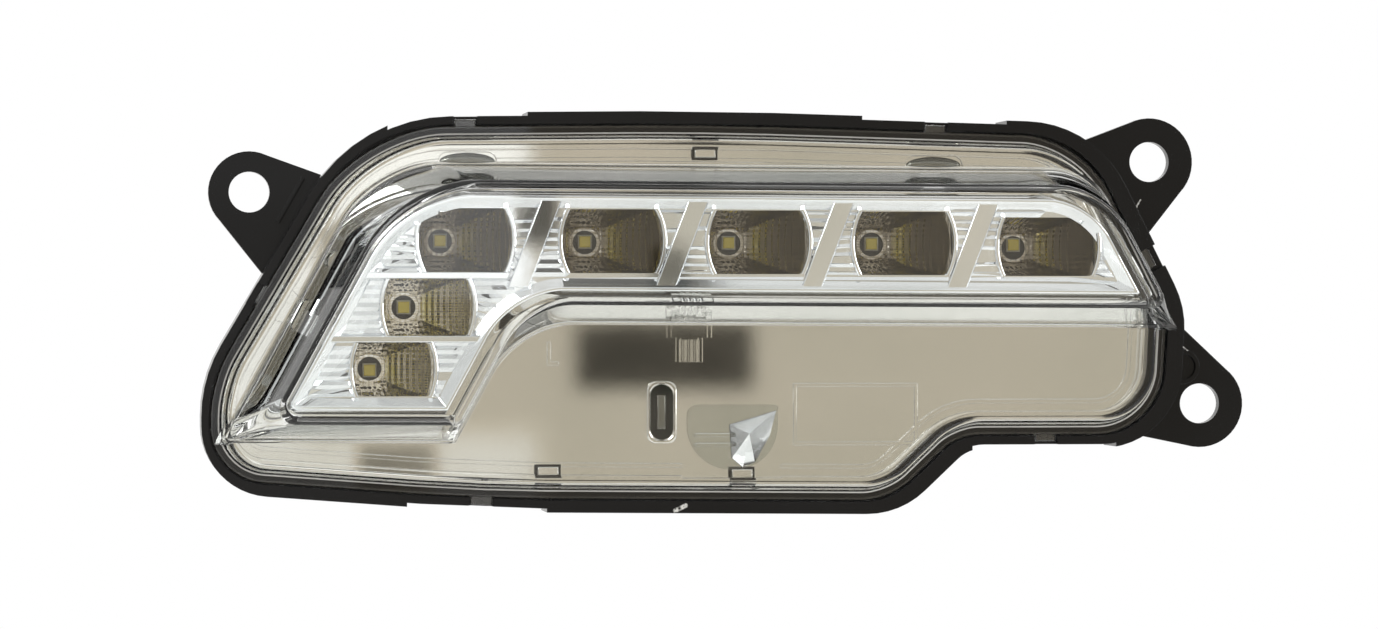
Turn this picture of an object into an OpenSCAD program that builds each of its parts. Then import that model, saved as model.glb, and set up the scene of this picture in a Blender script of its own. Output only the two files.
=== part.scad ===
// Bumper daytime running lamp: seven LED cells behind a clear lens, in a moulded housing with three ears.
// Plans are drawn as seen from the front, with x to the right, y up and z towards the viewer.
// The origin is the centre of the left ear's hole, on the front face of the ears.

/* [Rim outline] */
// Length of the rim
body_l = 256; // [250:1:264]
// Height of the rim
body_h = 104; // [101:0.5:108]
// How far the rim reaches left of the left hole
rim_left = 12.5; // [11:0.5:14]
// How far the rim reaches above the left hole
rim_top = 20.7; // [19:0.1:22]
// Height of the step at the lower right
step_h = 17; // [15:0.5:19]
// Length of the raised edge right of the step
step_l = 55.6; // [52:0.2:59]
// Slope of the left flank
left_flank = 58.4; // [56:0.2:61]
// Slope of the right flank
right_flank = 63.4; // [61:0.2:66]
// Corner radius at the upper left
upper_left_r = 42; // [34:1:46]
// Corner radius at the upper right
upper_right_r = 30; // [24:1:34]
// Corner radius at the lower left
lower_left_r = 18; // [14:1:20]
// Corner radius at the lower right
lower_right_r = 21.5; // [16:0.5:23]

/* [Rim section] */
// How far the rim stands forward of the ears
rim_z = 10; // [8:0.5:12]
// Width of the rim's outer wall, seen from the front
rim_wall = 3.2; // [2.8:0.1:3.8]
// How far the outer wall reaches behind the ears
skirt_depth = 6; // [5:0.5:7.5]
// Sideways offset of everything inside the rim
inner_shift = 1.2; // [0.8:0.1:1.6]
// Depth of the ledge that the lens lies on, below the rim's front
ledge_drop = 3.5; // [3:0.1:4]
// Width of the sealant channel
channel_w = 2.2; // [1.8:0.1:2.6]
// Depth of the sealant channel
channel_d = 4.5; // [4:0.1:5]
// Thickness of the housing's other walls
wall = 2.4; // [2:0.1:3]
// Thickness of the housing's ribs
rib_t = 1.6; // [1.2:0.1:2]
// Depth of the recessed stretches of the rim
bay_d = 1; // [0.6:0.1:1.3]
// Width of a lens hook
hook_w = 5.5; // [4:0.5:7]

/* [Ears] */
// Thickness of an ear
ear_t = 3.5; // [3:0.1:4.5]
// Radius of the hole in an ear
hole_r = 5.25; // [4.5:0.05:5.8]
// Radius of the left ear
left_ear_r = 10.5; // [9.5:0.1:12]
// Radius of each right ear
right_ear_r = 11.5; // [10.5:0.1:12.5]
// Upper right hole, distance to the right of the left hole
upper_hole_x = 235.9; // [234:0.1:238]
// Upper right hole, distance above the left hole
upper_hole_y = 8.6; // [7:0.1:10]
// Lower right hole, distance to the right of the left hole
lower_hole_x = 249.4; // [248:0.1:251]
// Lower right hole, distance below the left hole
lower_hole_y = 54.9; // [53:0.1:56.5]

/* [Raised window] */
// How far the raised window stands forward of the ears
face_z = 30; // [28:0.5:32]
// Distance from the rim's left edge to the foot of the column
foot_inset = 17; // [15:0.1:19]
// Height of the window's top edge above the left hole
window_y = 2.4; // [1:0.1:3.5]
// Distance from the rim's right flank to the window's upper right corner
window_gap = 9.1; // [8:0.1:11]
// Height of the row
row_h = 30.9; // [29:0.1:32]
// Distance from the foot of the column to the rim's lower edge
foot_gap = 24.2; // [23:0.1:26]
// Width of the foot of the column
column_w = 48.1; // [46:0.1:50]
// Slope of the window's flanks
flank = 61.5; // [60:0.5:63]
// How much the row falls from left to right
row_fall = 1; // [0:0.1:2]
// Sideways lean of the moulding direction
draw_angle = 12; // [8:0.5:14]
// Draft of the walls of the raised window
draft = 15; // [12:0.5:17]

/* [Lens] */
// Thickness of the lens
lens_t = 2.4; // [2:0.1:3]
// How far the flat pane stands forward of the ears
pane_z = 13; // [12:0.5:14.5]
// Thickness of the lens flange
flange_t = 2.2; // [1.8:0.1:2.6]
// Radius of the lens edges
lens_r = 1.4; // [0.8:0.1:2]
// Clearance of the lens in the rim
lens_gap = 0.3; // [0.2:0.05:0.5]

/* [Bezel and cells] */
// Space between the lens edge and the bezel's lip
bezel_inset = 3.4; // [3:0.1:4.5]
// How far the bezel's lip lies behind the window's front
bezel_drop = 6; // [5:0.5:7]
// Width of the bezel's lip
lip_w = 0.8; // [0.6:0.1:1.2]
// Width of the slope inside the lip
slope_w = 2.7; // [2.2:0.1:3]
// Depth of the slope inside the lip
slope_d = 1.6; // [1.4:0.1:2.4]
// Thickness of the bezel
bezel_t = 2; // [1.6:0.1:2.4]
// Distance from the window's upper left corner to the first cell
first_cell = 17.6; // [16.5:0.1:18.5]
// Distance from the last cell to the window's upper right corner
last_cell = 12.5; // [11.5:0.1:13.5]
// Space between the cells of the row
cell_gap = 12; // [11:0.1:13.5]
// Height of a cell of the row
cell_h = 16.6; // [15.5:0.1:17.4]
// Radius of a cell's bulging sides
cell_r = 17; // [14:0.5:22]
// Distance from the lowest cell to the foot of the column
cell_foot = 6.05; // [5.5:0.05:7]
// Thickness of the bars between the cells of the column
bar_w = 1.8; // [1.75:0.05:2.2]
// Width of a slanted strap between cells
strap_w = 5.4; // [4:0.1:6]
// Slant of a strap
strap_slant = 21; // [16:1:24]
// Distance between the ribs of the bezel's fields
rib_pitch = 2.2; // [1.8:0.1:2.8]
// Height of those ribs
rib_h = 0.7; // [0.4:0.1:1]
// Height of straps, bars and cell edges above the bezel's plate
strap_h = 1.2; // [0.9:0.1:1.6]
// Width of the bright edge at the side of a cell
edge_w = 1.2; // [0.8:0.1:1.6]

/* [Lamps] */
// Wall of a reflector cup
cup_t = 0.8; // [0.6:0.05:0.85]
// Radius of the opening at the foot of a cup
cup_hole_r = 2.9; // [2.7:0.1:3.3]
// Side of an LED package
led_s = 3.6; // [3:0.1:3.7]
// Height of an LED package
led_t = 1.2; // [0.8:0.1:1.5]
// How far the circuit boards lie behind the front of the ears
board_z = 1; // [0.8:0.1:1.6]
// Thickness of a circuit board
board_t = 1.6; // [1.2:0.1:2]
// Thickness of a thermal pad
pad_t = 0.5; // [0.3:0.1:0.8]
// Height of the row board
board_h = 17; // [15:0.5:19]
// How far the row board reaches past its first and last LED
board_end = 9; // [7.5:0.5:10]

/* [Base panel] */
// Thickness of the base panel
panel_t = 2; // [1.6:0.1:2.4]
// How far the base panel's front stands forward of the ears
panel_z = 4; // [3.5:0.1:4.5]
// Gap between the base panel and the housing
panel_gap = 0.3; // [0.2:0.05:0.5]

/* [Rear] */
// How far the housing's floor lies behind the front of the ears
floor_z = 8; // [7:0.5:9]
// How far the electronics pocket reaches behind the front of the ears
pocket_z = 25; // [22:0.5:28]
// Distance from the pocket's right wall to the corner of the step
pocket_gap = 21; // [20:0.5:26]
// Distance from the pocket up to the row board
pocket_drop = 17.45; // [17.2:0.05:19]
// Distance of the pocket's left wall from the left hole
pocket_x = 86; // [80:1:90]
// Thickness of the gaskets
gasket_t = 1; // [0.8:0.1:1.4]
// Thickness of the rear cover
cover_t = 2.5; // [2:0.1:3]
// Thickness of the heat sink's plates
sink_t = 3; // [2.5:0.1:4]
// Thickness of a fin
fin_t = 1.8; // [1.4:0.1:2.4]
// Distance between the fins
fin_pitch = 7; // [6:0.5:9]
// How far the fins reach behind the front of the ears
fin_z = 33; // [30:0.5:36]
// Radius of the screws
screw_r = 1.5; // [1.3:0.1:1.7]
// Clearance of a screw in the pieces that it clamps
screw_gap = 0.2; // [0.15:0.05:0.3]
// Gap round the heat sink's seat in the housing's floor
seat_gap = 0.8; // [0.5:0.1:1]
// Length of the connector socket
socket_l = 26; // [24:0.5:30]
// Height of the connector socket
socket_h = 14; // [13:0.5:16]
// Depth of the connector socket
socket_d = 16; // [14:0.5:20]
// Wall of the connector socket
socket_t = 1.8; // [1.4:0.1:2.2]
// Radius of the vent cap
vent_r = 8; // [7:0.5:9]

/* [Hidden] */
CELLS = 7;
ROW = 5;
$fn = 48;
turn_step = 7.5;
least_r = 0.3;
// How far a cut runs past the face that it opens
over = 1;
// How far a raised feature is rooted in the solid below it
root = 0.1;
far = 2 * body_l;

// Corners of the rim, each with its radius, counterclockwise from the lower left
left = -rim_left;
right = body_l - rim_left;
top = rim_top;
bottom = rim_top - body_h;
foot = bottom + 6.5;
shoulder = bottom + step_h;
flank_y = shoulder + 36.7;
hip_y = bottom + 35.5;
middle = (left + right) / 2;
step_x = right - step_l - 1.9;
// The two slanted flanks at height y
function left_x(y) = left + (y - hip_y) / tan(left_flank);
function right_x(y) = right - (y - flank_y) / tan(right_flank);
rim = [
    [left, foot, lower_left_r],
    [left + 72.5, bottom + 1, 500],
    [step_x - (step_h + 0.1) * 1.05, bottom, 22],
    [step_x, shoulder, 10],
    [right - 2, shoulder, lower_right_r],
    [right, flank_y, 25],
    [right_x(top - 2.4), top - 2.4, upper_right_r],
    [left + 130, top + 0.4, 900],
    [left_x(top + 0.7) - 2.6, top - 0.6, upper_left_r],
    [left, hip_y, 36]];

// Corners of the raised window at its front
cot_flank = 1 / tan(flank);
column_h = window_y - bottom - foot_gap;
column_x = left + foot_inset;
window_x = column_x + column_h * cot_flank;
window_end = right_x(window_y) - window_gap;
row_l = window_end - window_x;
function fall(x) = -row_fall * (x - window_x) / row_l;
function fallen(p) = [p[0], p[1] + fall(p[0]), p[2]];
window = [for (p = [
    [column_x, window_y - column_h, 5],
    [column_x + column_w, window_y - column_h, 2.2],
    [column_x + column_w + (column_h - row_h) * cot_flank, window_y - row_h, 19],
    [window_end + row_h * cot_flank, window_y - row_h, 3.4],
    [window_end, window_y, 22],
    [window_x, window_y, 33]]) fallen(p)];

// Heights of the main planes
ledge_z = rim_z - ledge_drop;
flange_z = ledge_z + flange_t;
channel_z = ledge_z - channel_d;
web_z = channel_z - wall;
bead_z = channel_z + 1.5;
lip_z = face_z - bezel_drop;
plate_z = lip_z - slope_d;
cup_z = plate_z - bezel_t;
board_back = -board_z - board_t;
pad_back = board_back - pad_t;
floor_back = -floor_z - wall;

// Bands across the rim, measured inwards from its outline
ledge_in = rim_wall + 0.5;
channel_in = ledge_in + channel_w;
inner_in = channel_in + 2.1;
panel_in = inner_in + panel_gap;
body_out = inner_in - 0.6;
body_in = body_out + wall;
lens_foot_in = channel_in + 0.2;

// Geometry of outlines
function unit(v) = v / norm(v);
function turn(a, p, b) =
    let (u = unit(p - a), v = unit(b - p)) atan2(u[0] * v[1] - u[1] * v[0], u * v);
function xy(p) = [p[0], p[1]];
function before(c, i) = xy(c[(i + len(c) - 1) % len(c)]);
function after(c, i) = xy(c[(i + 1) % len(c)]);
function normal(a, b) = let (u = unit(b - a)) [-u[1], u[0]];

// The same outline d further in, with its radii adjusted and moved dx to the right
function inset(c, d, dx = 0) = [for (i = [0:len(c) - 1])
    let (
        p = xy(c[i]),
        n = normal(before(c, i), p),
        m = normal(p, after(c, i)),
        s = sign(turn(before(c, i), p, after(c, i))),
        q = p + d * (n + m) / (1 + n * m)
    ) [q[0] + dx, q[1], max(least_r, c[i][2] - s * d)]];

// Points of one rounded corner
function corner(a, p, b, r) =
    let (
        t = turn(a, p, b),
        reach = r * tan(abs(t) / 2),
        start = p - unit(p - a) * reach,
        side = sign(t),
        centre = start + side * r * normal(a, p),
        from = atan2(start[1] - centre[1], start[0] - centre[0]),
        n = max(1, ceil(abs(t) / turn_step))
    ) [for (k = [0:n]) centre + r * [cos(from + t * k / n), sin(from + t * k / n)]];
function rounded(c) = [for (i = [0:len(c) - 1])
    each corner(before(c, i), xy(c[i]), after(c, i), c[i][2])];

// Sideways position of the inner mouldings at height z
function lean(z) = (z - face_z) * tan(draw_angle);
// Outline of the raised window d further in, at height z
function window_at(d, z) = rounded(inset(window, d - (face_z - z) * tan(draft), lean(z)));
// Outline inside the rim
function inner_at(d, dx = 0) = rounded(inset(rim, d, dx - inner_shift));

module front() {
    rotate([90, 0, 0]) children();
}

// Solid through rings of points, each ring given as [points, height]
module loft(rings) {
    n = len(rings[0][0]);
    last = len(rings) - 1;
    points = [for (ring = rings) for (p = ring[0]) [p[0], p[1], ring[1]]];
    sides = [for (k = [0:last - 1]) for (i = [0:n - 1])
        let (a = k * n + i, b = k * n + (i + 1) % n)
        each [[a, a + n, b + n], [a, b + n, b]]];
    low_cap = [for (i = [0:n - 1]) i];
    high_cap = [for (i = [0:n - 1]) last * n + n - 1 - i];
    polyhedron(points = points, faces = concat([low_cap], sides, [high_cap]));
}

module slab(z0, z1) {
    translate([0, 0, z0]) linear_extrude(z1 - z0) children();
}

// The part of a solid between two heights
module between(z0, z1) {
    intersection() {
        children();
        slab(z0, z1) square(far, center = true);
    }
}

// Ring between two outlines inside the rim
module inner_ring(d0, d1, z0, z1) {
    slab(z0, z1) difference() {
        polygon(inner_at(d0));
        polygon(inner_at(d1));
    }
}

// Places of the cells in the plan of the window's front: [x, y, width, height]
cell_x = window_x + first_cell;
cell_y = window_y - row_h / 2 + 0.7;
pitch = (row_l - first_cell - last_cell) / (ROW - 1);
cell_w = pitch - cell_gap;
low_cell_h = (cell_y - cell_h / 2 - (window_y - column_h) - cell_foot) / 2 - bar_w;
low_drop = (cell_h + low_cell_h) / 2 + bar_w;
lowest_drop = low_drop + low_cell_h + bar_w;
cells = concat(
    [for (k = [0:ROW - 1]) let (x = cell_x + k * pitch)
        [x, cell_y + fall(x), k == 0 ? cell_w - 2 : cell_w, cell_h]],
    [[cell_x - low_drop * cot_flank, cell_y - low_drop, cell_w - 3, low_cell_h],
     [cell_x - lowest_drop * cot_flank, cell_y - lowest_drop, cell_w - 5.2, low_cell_h]]);
function led_at(k) = [cells[k][0] + lean(0), cells[k][1]];

// Barrel with a flat top and bottom and bulging sides
module barrel(w, h) {
    intersection() {
        square([w, h], center = true);
        intersection_for (side = [-1, 1])
            translate([side * (w / 2 - cell_r), 0]) circle(cell_r, $fn = 96);
    }
}

// Half of the points of the same barrel, from its lower right corner to just before its upper left one.
// The top edge is crowned a little, as it is on the cups.
side_steps = 6;
crown = 0.2;
function half_barrel(w, h) =
    let (reach = asin(h / 2 / cell_r), x = w / 2 - cell_r * (1 - cos(reach)))
    concat(
        [for (k = [0:side_steps])
            let (a = reach * (2 * k / side_steps - 1))
            [w / 2 - cell_r + cell_r * cos(a), cell_r * sin(a)]],
        [for (f = [0.5, 0, -0.5]) [x * f, h / 2 + crown * (1 - f * f)]]);
function barrel_points(w, h) =
    let (half = half_barrel(w, h - 2 * crown))
    concat(half, -half);

// Plan of an ear: a disc with straight sides to the two points a and b inside the rim
function tangent_point(c, r, p, side) =
    let (v = p - c, d = norm(v), a = atan2(v[1], v[0]) + side * acos(r / d))
    c + r * [cos(a), sin(a)];
module ear_plan(c, r, a, b) {
    translate(c) circle(r, $fn = 96);
    near = r - 0.05;
    polygon([c, tangent_point(c, near, a, -1), a, b, tangent_point(c, near, b, 1)]);
}

left_ear = [0, 0];
upper_ear = [upper_hole_x, upper_hole_y];
lower_ear = [lower_hole_x, -lower_hole_y];
ears = [
    [left_ear, left_ear_r, [left_x(-25) + 5, -25], [left_x(4.5) - 1.2, 4.5]],
    [upper_ear, right_ear_r, [right_x(top - 8) - 7.8, top - 8], [right_x(-13) - 1.7, -13]],
    [lower_ear, right_ear_r, [right - 4, flank_y - 0.4], [right - 16, shoulder + 4.2]]];

// Stretches of the rim that are recessed: [from x, to x, above or below the row]
bays = [[left + 47.5, left + 83.5, 1], [right - 85.5, right - 47.5, 1],
    [right - 56.5, right - 18.5, -1], [left + 52.5, left + 88.5, -1]];
// Lens hooks: [x, y, direction outwards]
hooks = [[left + 67.5, top, 90], [right - 66, top, 90],
    [right - 37, shoulder, -90], [left + 71.5, bottom, -90],
    [left_x(-26) - 0.4, -26, 150], [right_x(-15.5) + 1, -15.5, 28]];

// Part of the plan within half a width of a hook
module at_hooks(width) {
    for (h = hooks)
        translate([h[0], h[1]]) rotate(h[2]) square([16, width], center = true);
}

// Plan of the rear pocket, grown by g
pocket_y = bottom + body_in + 2.2;
pocket_l = step_x - pocket_gap - pocket_x;
pocket_h = led_at(0)[1] - board_h / 2 - pocket_drop - pocket_y;
module pocket_plan(g = 0) {
    translate([pocket_x - g, pocket_y - g]) square([pocket_l + 2 * g, pocket_h + 2 * g]);
}
boss_r = screw_r + 2.1;
// The shanks are plain, at the core of their thread
core_r = screw_r - 0.2;
cover_screws_at = [for (i = [0:2]) for (s = [0, 1])
    [pocket_x + i * pocket_l / 2, pocket_y + s * pocket_h + (s - 0.5) * 2 * (boss_r - 0.4)]];

// Plan of the heat sink's raised seat, under both circuit boards, grown by g
first_led = led_at(0);
last_led = led_at(ROW - 1);
lowest_led = led_at(CELLS - 1);
row_low = first_led[1] - board_h / 2;
column_end = 8;
column_half = 9.5;
column_low = lowest_led[1] - column_end;
seat_margin = 2;
// How far pads and gaskets keep inside the pieces that they lie between
edge_in = 0.5;
module row_plan(g = 0) {
    translate([first_led[0] - board_end - g, row_low - g])
        square([last_led[0] - first_led[0] + 2 * board_end + 2 * g, board_h + 2 * g]);
}
module column_plan(g = 0) {
    run = (row_low - column_low) * cot_flank;
    x0 = lowest_led[0] - column_half - 0.5;
    x1 = x0 + 2 * column_half;
    y = row_low - edge_in;
    polygon([[x0 - g * (1 + cot_flank), column_low - g], [x1 + g, column_low - g],
        [x1 + run + g, y], [x0 + run - g, y]]);
}
module seat_plan(g = 0) {
    row_plan(g);
    column_plan(g);
}
flange_w = 7;
sink_screw_out = seat_margin + 4.6;
sink_screws_at = concat(
    [for (k = [0, 2, 4]) [led_at(k)[0] + 4 - 2 * k, row_low + board_h + sink_screw_out]],
    [for (k = [1, 3, 4]) [led_at(k)[0] + (k < 4 ? 0 : -4), row_low - sink_screw_out]],
    [[lowest_led[0] - 3, column_low - sink_screw_out]]);

vent_at = [right - 38, shoulder + 19];
pipe_r = 5.2;
pipe_bore = 3;
socket_in = 24;
socket_at = [pocket_x + socket_in, pocket_y + pocket_h / 2];
socket_flange = 3;

// Black housing, with its ears
module housing() {
    color([0.09, 0.09, 0.095]) front() difference() {
        union() {
            // Outer wall of the rim
            slab(-skirt_depth, rim_z) difference() {
                polygon(rounded(rim));
                polygon(inner_at(rim_wall));
            }
            // Web, ledge and inner wall
            inner_ring(rim_wall - 0.4, inner_in, web_z, ledge_z);
            inner_ring(body_out, body_in, floor_back, panel_z - panel_t);
            slab(floor_back, -floor_z) polygon(inner_at(body_out));
            ribs();
            ears_solid();
            pocket();
            bosses();
        }
        // Sealant channel
        inner_ring(ledge_in, channel_in, channel_z, ledge_z + over);
        // Recessed stretches
        bay_cuts();
        // Notches for the lens hooks
        slab(flange_z - 1.9, rim_z + over) intersection() {
            difference() {
                polygon(rounded(inset(rim, -over)));
                polygon(inner_at(rim_wall + 0.7));
            }
            at_hooks(hook_w + 2 * lens_gap);
        }
        slab(floor_back - over, -floor_z + over) seat_plan(seat_margin + seat_gap);
        slab(-pocket_z - over, -floor_z + over) pocket_plan();
        translate([vent_at[0], vent_at[1], floor_back - 5]) cylinder(r = pipe_bore, h = 10);
        for (p = sink_screws_at)
            translate([p[0], p[1], floor_back - over]) cylinder(r = core_r, h = 7 + over, $fn = 24);
        for (p = cover_screws_at)
            translate([p[0], p[1], -pocket_z - over]) cylinder(r = core_r, h = 9 + over, $fn = 24);
        for (e = ears)
            translate([e[0][0], e[0][1], -ear_t - over]) cylinder(r = hole_r, h = ear_t + 2 * over, $fn = 96);
    }
}

module bay_cuts() {
    for (b = bays)
        slab(-skirt_depth - over, rim_z + over) intersection() {
            difference() {
                polygon(rounded(inset(rim, -over)));
                polygon(rounded(inset(rim, bay_d)));
            }
            translate([b[0], b[2] > 0 ? 0 : 2 * bottom])
                square([b[1] - b[0], shoulder - 2 * bottom + 20]);
        }
}

// Flat ears with low ribs, a small boss and gussets behind
module ears_solid() {
    boss_off = [-4.7, 9.7];
    for (e = ears)
        slab(-ear_t, 0) difference() {
            ear_plan(e[0], e[1], e[2], e[3]);
            polygon(inner_at(1));
        }
    // Two low ribs along the left flank, and a boss on the lower right ear
    slab(-root, 1.2) difference() {
        union() {
            for (r = [[-5.1, 13], [-1.3, 9.2]])
                translate([left_x(-2) + r[0], -2]) rotate(left_flank + 2) square([r[1], 0.9], center = true);
        }
        polygon(inner_at(1));
    }
    slab(-root, 1) difference() {
        translate(lower_ear + boss_off) circle(4.6);
        translate(lower_ear + boss_off) circle(3.4);
        polygon(inner_at(1));
    }
    // Gussets between the backs of the ears and the rim
    for (g = [[left_x(-6) + 0.8, -6, left_flank - 90], [left_x(-13) + 2.1, -13, left_flank - 90],
            [right_x(3) + 1.3, 3, 207], [right_x(-5) + 1.3, -5, 207],
            [right - 3, -44, 180], [right - 5, -53, 180]])
        slab(-skirt_depth, -ear_t + root) difference() {
            translate([g[0], g[1]]) rotate(g[2]) translate([-8, -rib_t / 2]) square([12, rib_t]);
            polygon(inner_at(1));
            for (e = ears)
                translate(e[0]) circle(hole_r + 2.5);
        }
}

// Radial ribs between the skirt and the body, and a grid on the back of the floor
module ribs() {
    slab(-skirt_depth + 1, web_z + 0.1) intersection() {
        difference() {
            polygon(inner_at(rim_wall - 0.2));
            polygon(inner_at(body_out + 0.2));
        }
        union() {
            for (x = [left + 36:24:right - 24])
                translate([x, 0]) square([rib_t, far], center = true);
            for (y = [bottom + 21.3, bottom + 39.3, -20])
                translate([middle, y]) square([far, rib_t], center = true);
        }
    }
    slab(floor_back - 2.6, floor_back + 0.1) intersection() {
        difference() {
            polygon(inner_at(body_out));
            seat_plan(seat_margin + flange_w + 1.5);
            pocket_plan(wall);
            translate(vent_at) circle(vent_r + 1);
        }
        union() {
            for (x = [left + 20:18:right - 10])
                translate([x, 0]) square([rib_t, far], center = true);
            for (y = [bottom + 20.3, bottom + 33.3, bottom + 46.3])
                translate([middle, y]) square([far, rib_t], center = true);
        }
    }
}

module pocket() {
    slab(-pocket_z, -floor_z) difference() {
        pocket_plan(wall);
        pocket_plan();
    }
}

// Bosses for screws, the vent, the driver board and the base panel's clips
module bosses() {
    for (p = sink_screws_at)
        translate([p[0], p[1], floor_back]) cylinder(r = boss_r, h = 8, $fn = 32);
    for (p = cover_screws_at)
        translate([p[0], p[1], -pocket_z]) cylinder(r = boss_r, h = pocket_z - floor_z, $fn = 32);
    translate([vent_at[0], vent_at[1], floor_back - 4]) cylinder(r = pipe_r, h = 4 + root);
    for (c = clips)
        translate([c[0], c[1], 0]) clip_post();
}

// Clips of the base panel: [x, y]
clips = [[middle + 1.9, top - 10.5], [left + 89.1, bottom + 11.4], [middle + 11.6, bottom + 10.6]];
clip_slot = [6.8, 3.4];
clip_w = clip_slot[0] - 2;
clip_nose = 1.4;
module clip_post() {
    translate([-clip_w / 2, -rib_t / 2, -floor_z - root])
        cube([clip_w, rib_t, floor_z + panel_z + panel_gap + clip_nose]);
    translate([-clip_w / 2, -rib_t / 2 - 0.5, panel_z + 0.2]) cube([clip_w, 1.2, clip_nose]);
}

// Clear lens: pane, raised window, flange, hooks and grooved lug
module outer_lens() {
    color([0.86, 0.9, 0.92, 0.45]) front() {
        difference() {
            union() {
                pane();
                raised(0);
                flange();
            }
            slab(ledge_z - over, pane_z - lens_t) polygon(inner_at(lens_foot_in + lens_t + 0.8, 0.5));
            raised(lens_t);
        }
        lug();
    }
}

// Body of the pane
module pane() {
    between(ledge_z, face_z)
        loft(concat([[inner_at(lens_foot_in), ledge_z - over]],
            [for (p = edge_arc(0, pane_z)) [inner_at(lens_foot_in + 0.8 + p[0], 0.5), p[1]]]));
}

// Raised window, d inside its outer surface
module raised(d) {
    z0 = pane_z - lens_t - (d > 0 ? over : -0.4);
    loft(concat([[window_at(d, z0), z0]],
        [for (p = edge_arc(d, face_z - d)) [window_at(d + p[0], p[1]), p[1]]]));
}

// Steps of a rounded edge that ends at height z, as [inwards, height]; the inner surface has a sharp edge
function edge_arc(d, z) = d > 0 ? [[0, z]] :
    [for (a = [0, 45, 90]) [lens_r * (1 - cos(a)), z - lens_r * (1 - sin(a))]];

module flange() {
    inner_ring(ledge_in - 0.5 + lens_gap, lens_foot_in + 0.5, ledge_z, flange_z);
    // Tongue in the sealant channel
    inner_ring(ledge_in + 0.4, channel_in - 0.4, bead_z, ledge_z + 0.1);
    // Hooks over the rim
    slab(flange_z - 1.6, flange_z) intersection() {
        difference() {
            polygon(rounded(rim));
            polygon(inner_at(rim_wall + 1));
        }
        at_hooks(hook_w);
    }
}

// Grooved lug under the row, on the inside of the pane
lug_at = [middle - 2.1, window_y - row_h - 10.5];
module lug() {
    translate([lug_at[0], lug_at[1], 0]) {
        slab(pane_z - lens_t - 3.4, pane_z - lens_t) difference() {
            union() {
                translate([-5.2, 1.5]) square([10.4, 3.4]);
                translate([-2.8, -4.8]) square([5.6, 7]);
            }
            for (x = [-1.6, 0, 1.6])
                translate([x - 0.35, -5]) square([0.7, 6]);
        }
    }
}

module lens_seal() {
    color([0.16, 0.16, 0.17]) front()
        inner_ring(ledge_in, channel_in, channel_z, bead_z);
}

// Bright bezel: skirt, lip, inner slope and the ribbed plate with the cells' windows
module bezel() {
    steep = over * slope_w / slope_d;
    color([0.86, 0.87, 0.89]) front() difference() {
        union() {
            difference() {
                between(panel_z, lip_z) bezel_loft(0, 0, panel_z - over, lip_z + over);
                between(panel_z - over, cup_z) bezel_loft(bezel_t, bezel_t, panel_z - 2 * over, plate_z);
                between(plate_z, lip_z + over)
                    bezel_loft(lip_w + slope_w + steep, lip_w - steep, plate_z - over, lip_z + over);
            }
            slab(plate_z - 2 * root, plate_z + strap_h) intersection() {
                polygon(bezel_field(-0.3));
                translate([lean(plate_z), 0]) raised_marks();
            }
            intersection() {
                slab(plate_z - 2 * root, plate_z + rib_h + root) polygon(bezel_field(-0.3));
                rib_field();
            }
        }
        slab(cup_z - over, plate_z + strap_h + over) intersection() {
            polygon(bezel_field());
            for (c = cells)
                translate([c[0] + lean(plate_z), c[1]]) barrel(c[2], c[3]);
        }
    }
}

// Straight-sided solid through the bezel's outlines at two heights, inset by d0 below and d1 above
module bezel_loft(d0, d1, z0, z1) {
    loft([[bezel_at(d0, z0), z0], [bezel_at(d1, z1), z1]]);
}
// Outline of the bezel d further in, at height z
function bezel_at(d, z) = rounded(inset(window, bezel_inset + d - (lip_z - z) * tan(draft), lean(z)));
// Outline of its plate, grown inwards by d
function bezel_field(d = 0) = bezel_at(lip_w + slope_w + d, plate_z);

// Straps, bars and the edges beside the cells
module raised_marks() {
    y = cell_h / 2 + 2;
    run = y * tan(strap_slant);
    for (k = [0:ROW - 2]) {
        mid = (cells[k] + cells[k + 1]) / 2;
        translate([mid[0] - 1, mid[1]])
            polygon([[-run - strap_w / 2, -y], [-run + strap_w / 2, -y],
                [run + strap_w / 2, y], [run - strap_w / 2, y]]);
    }
    for (k = [ROW:CELLS - 1])
        translate([cells[k][0] - 30, cells[k][1] + low_cell_h / 2]) square([cells[k][2] + 28, bar_w]);
    for (c = cells)
        translate([c[0], c[1]]) barrel(c[2] + 2 * edge_w, c[3]);
}

// Fine ribs lying across the whole plate
module rib_field() {
    n = ceil(column_h / rib_pitch);
    y0 = window_y - column_h;
    y1 = y0 + n * rib_pitch;
    profile = concat(
        [[y0, -2 * root]],
        [for (k = [0:n - 1]) each [[y0 + k * rib_pitch, 0], [y0 + (k + 0.5) * rib_pitch, rib_h]]],
        [[y1, 0], [y1, -2 * root]]);
    translate([column_x - 15, 0, plate_z]) rotate([90, 0, 90]) linear_extrude(row_l + 80) polygon(profile);
}

// Silver panel behind the pane
module base_panel() {
    oval = [6, 14.3];
    color([0.78, 0.77, 0.74]) front() difference() {
        union() {
            slab(panel_z - panel_t, panel_z) polygon(inner_at(panel_in));
            intersection() {
                slab(panel_z - root, panel_z + 2) difference() {
                    polygon(inner_at(panel_in));
                    polygon(bezel_at(-panel_gap, panel_z));
                    translate(prism_at) square(prism_size + [2, 2], center = true);
                }
                panel_marks();
            }
        }
        // Opening behind the raised window
        through() polygon(bezel_at(bezel_t + 0.5, panel_z));
        through() translate([middle - 9.2, bottom + 26.5]) stadium(oval);
        for (c = clips)
            through() translate(c) square(clip_slot, center = true);
        // Shallow oval recesses along the top
        for (p = [[left + 68.4, top - 12.7], [right - 65.8, top - 13.3]])
            slab(panel_z - 1, panel_z + 3) translate(p) rotate(90) stadium([4.8, 15]);
    }
}

// From behind the panel to past everything that stands on it
module through() {
    slab(panel_z - panel_t - over, panel_z + 3) children();
}

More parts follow.
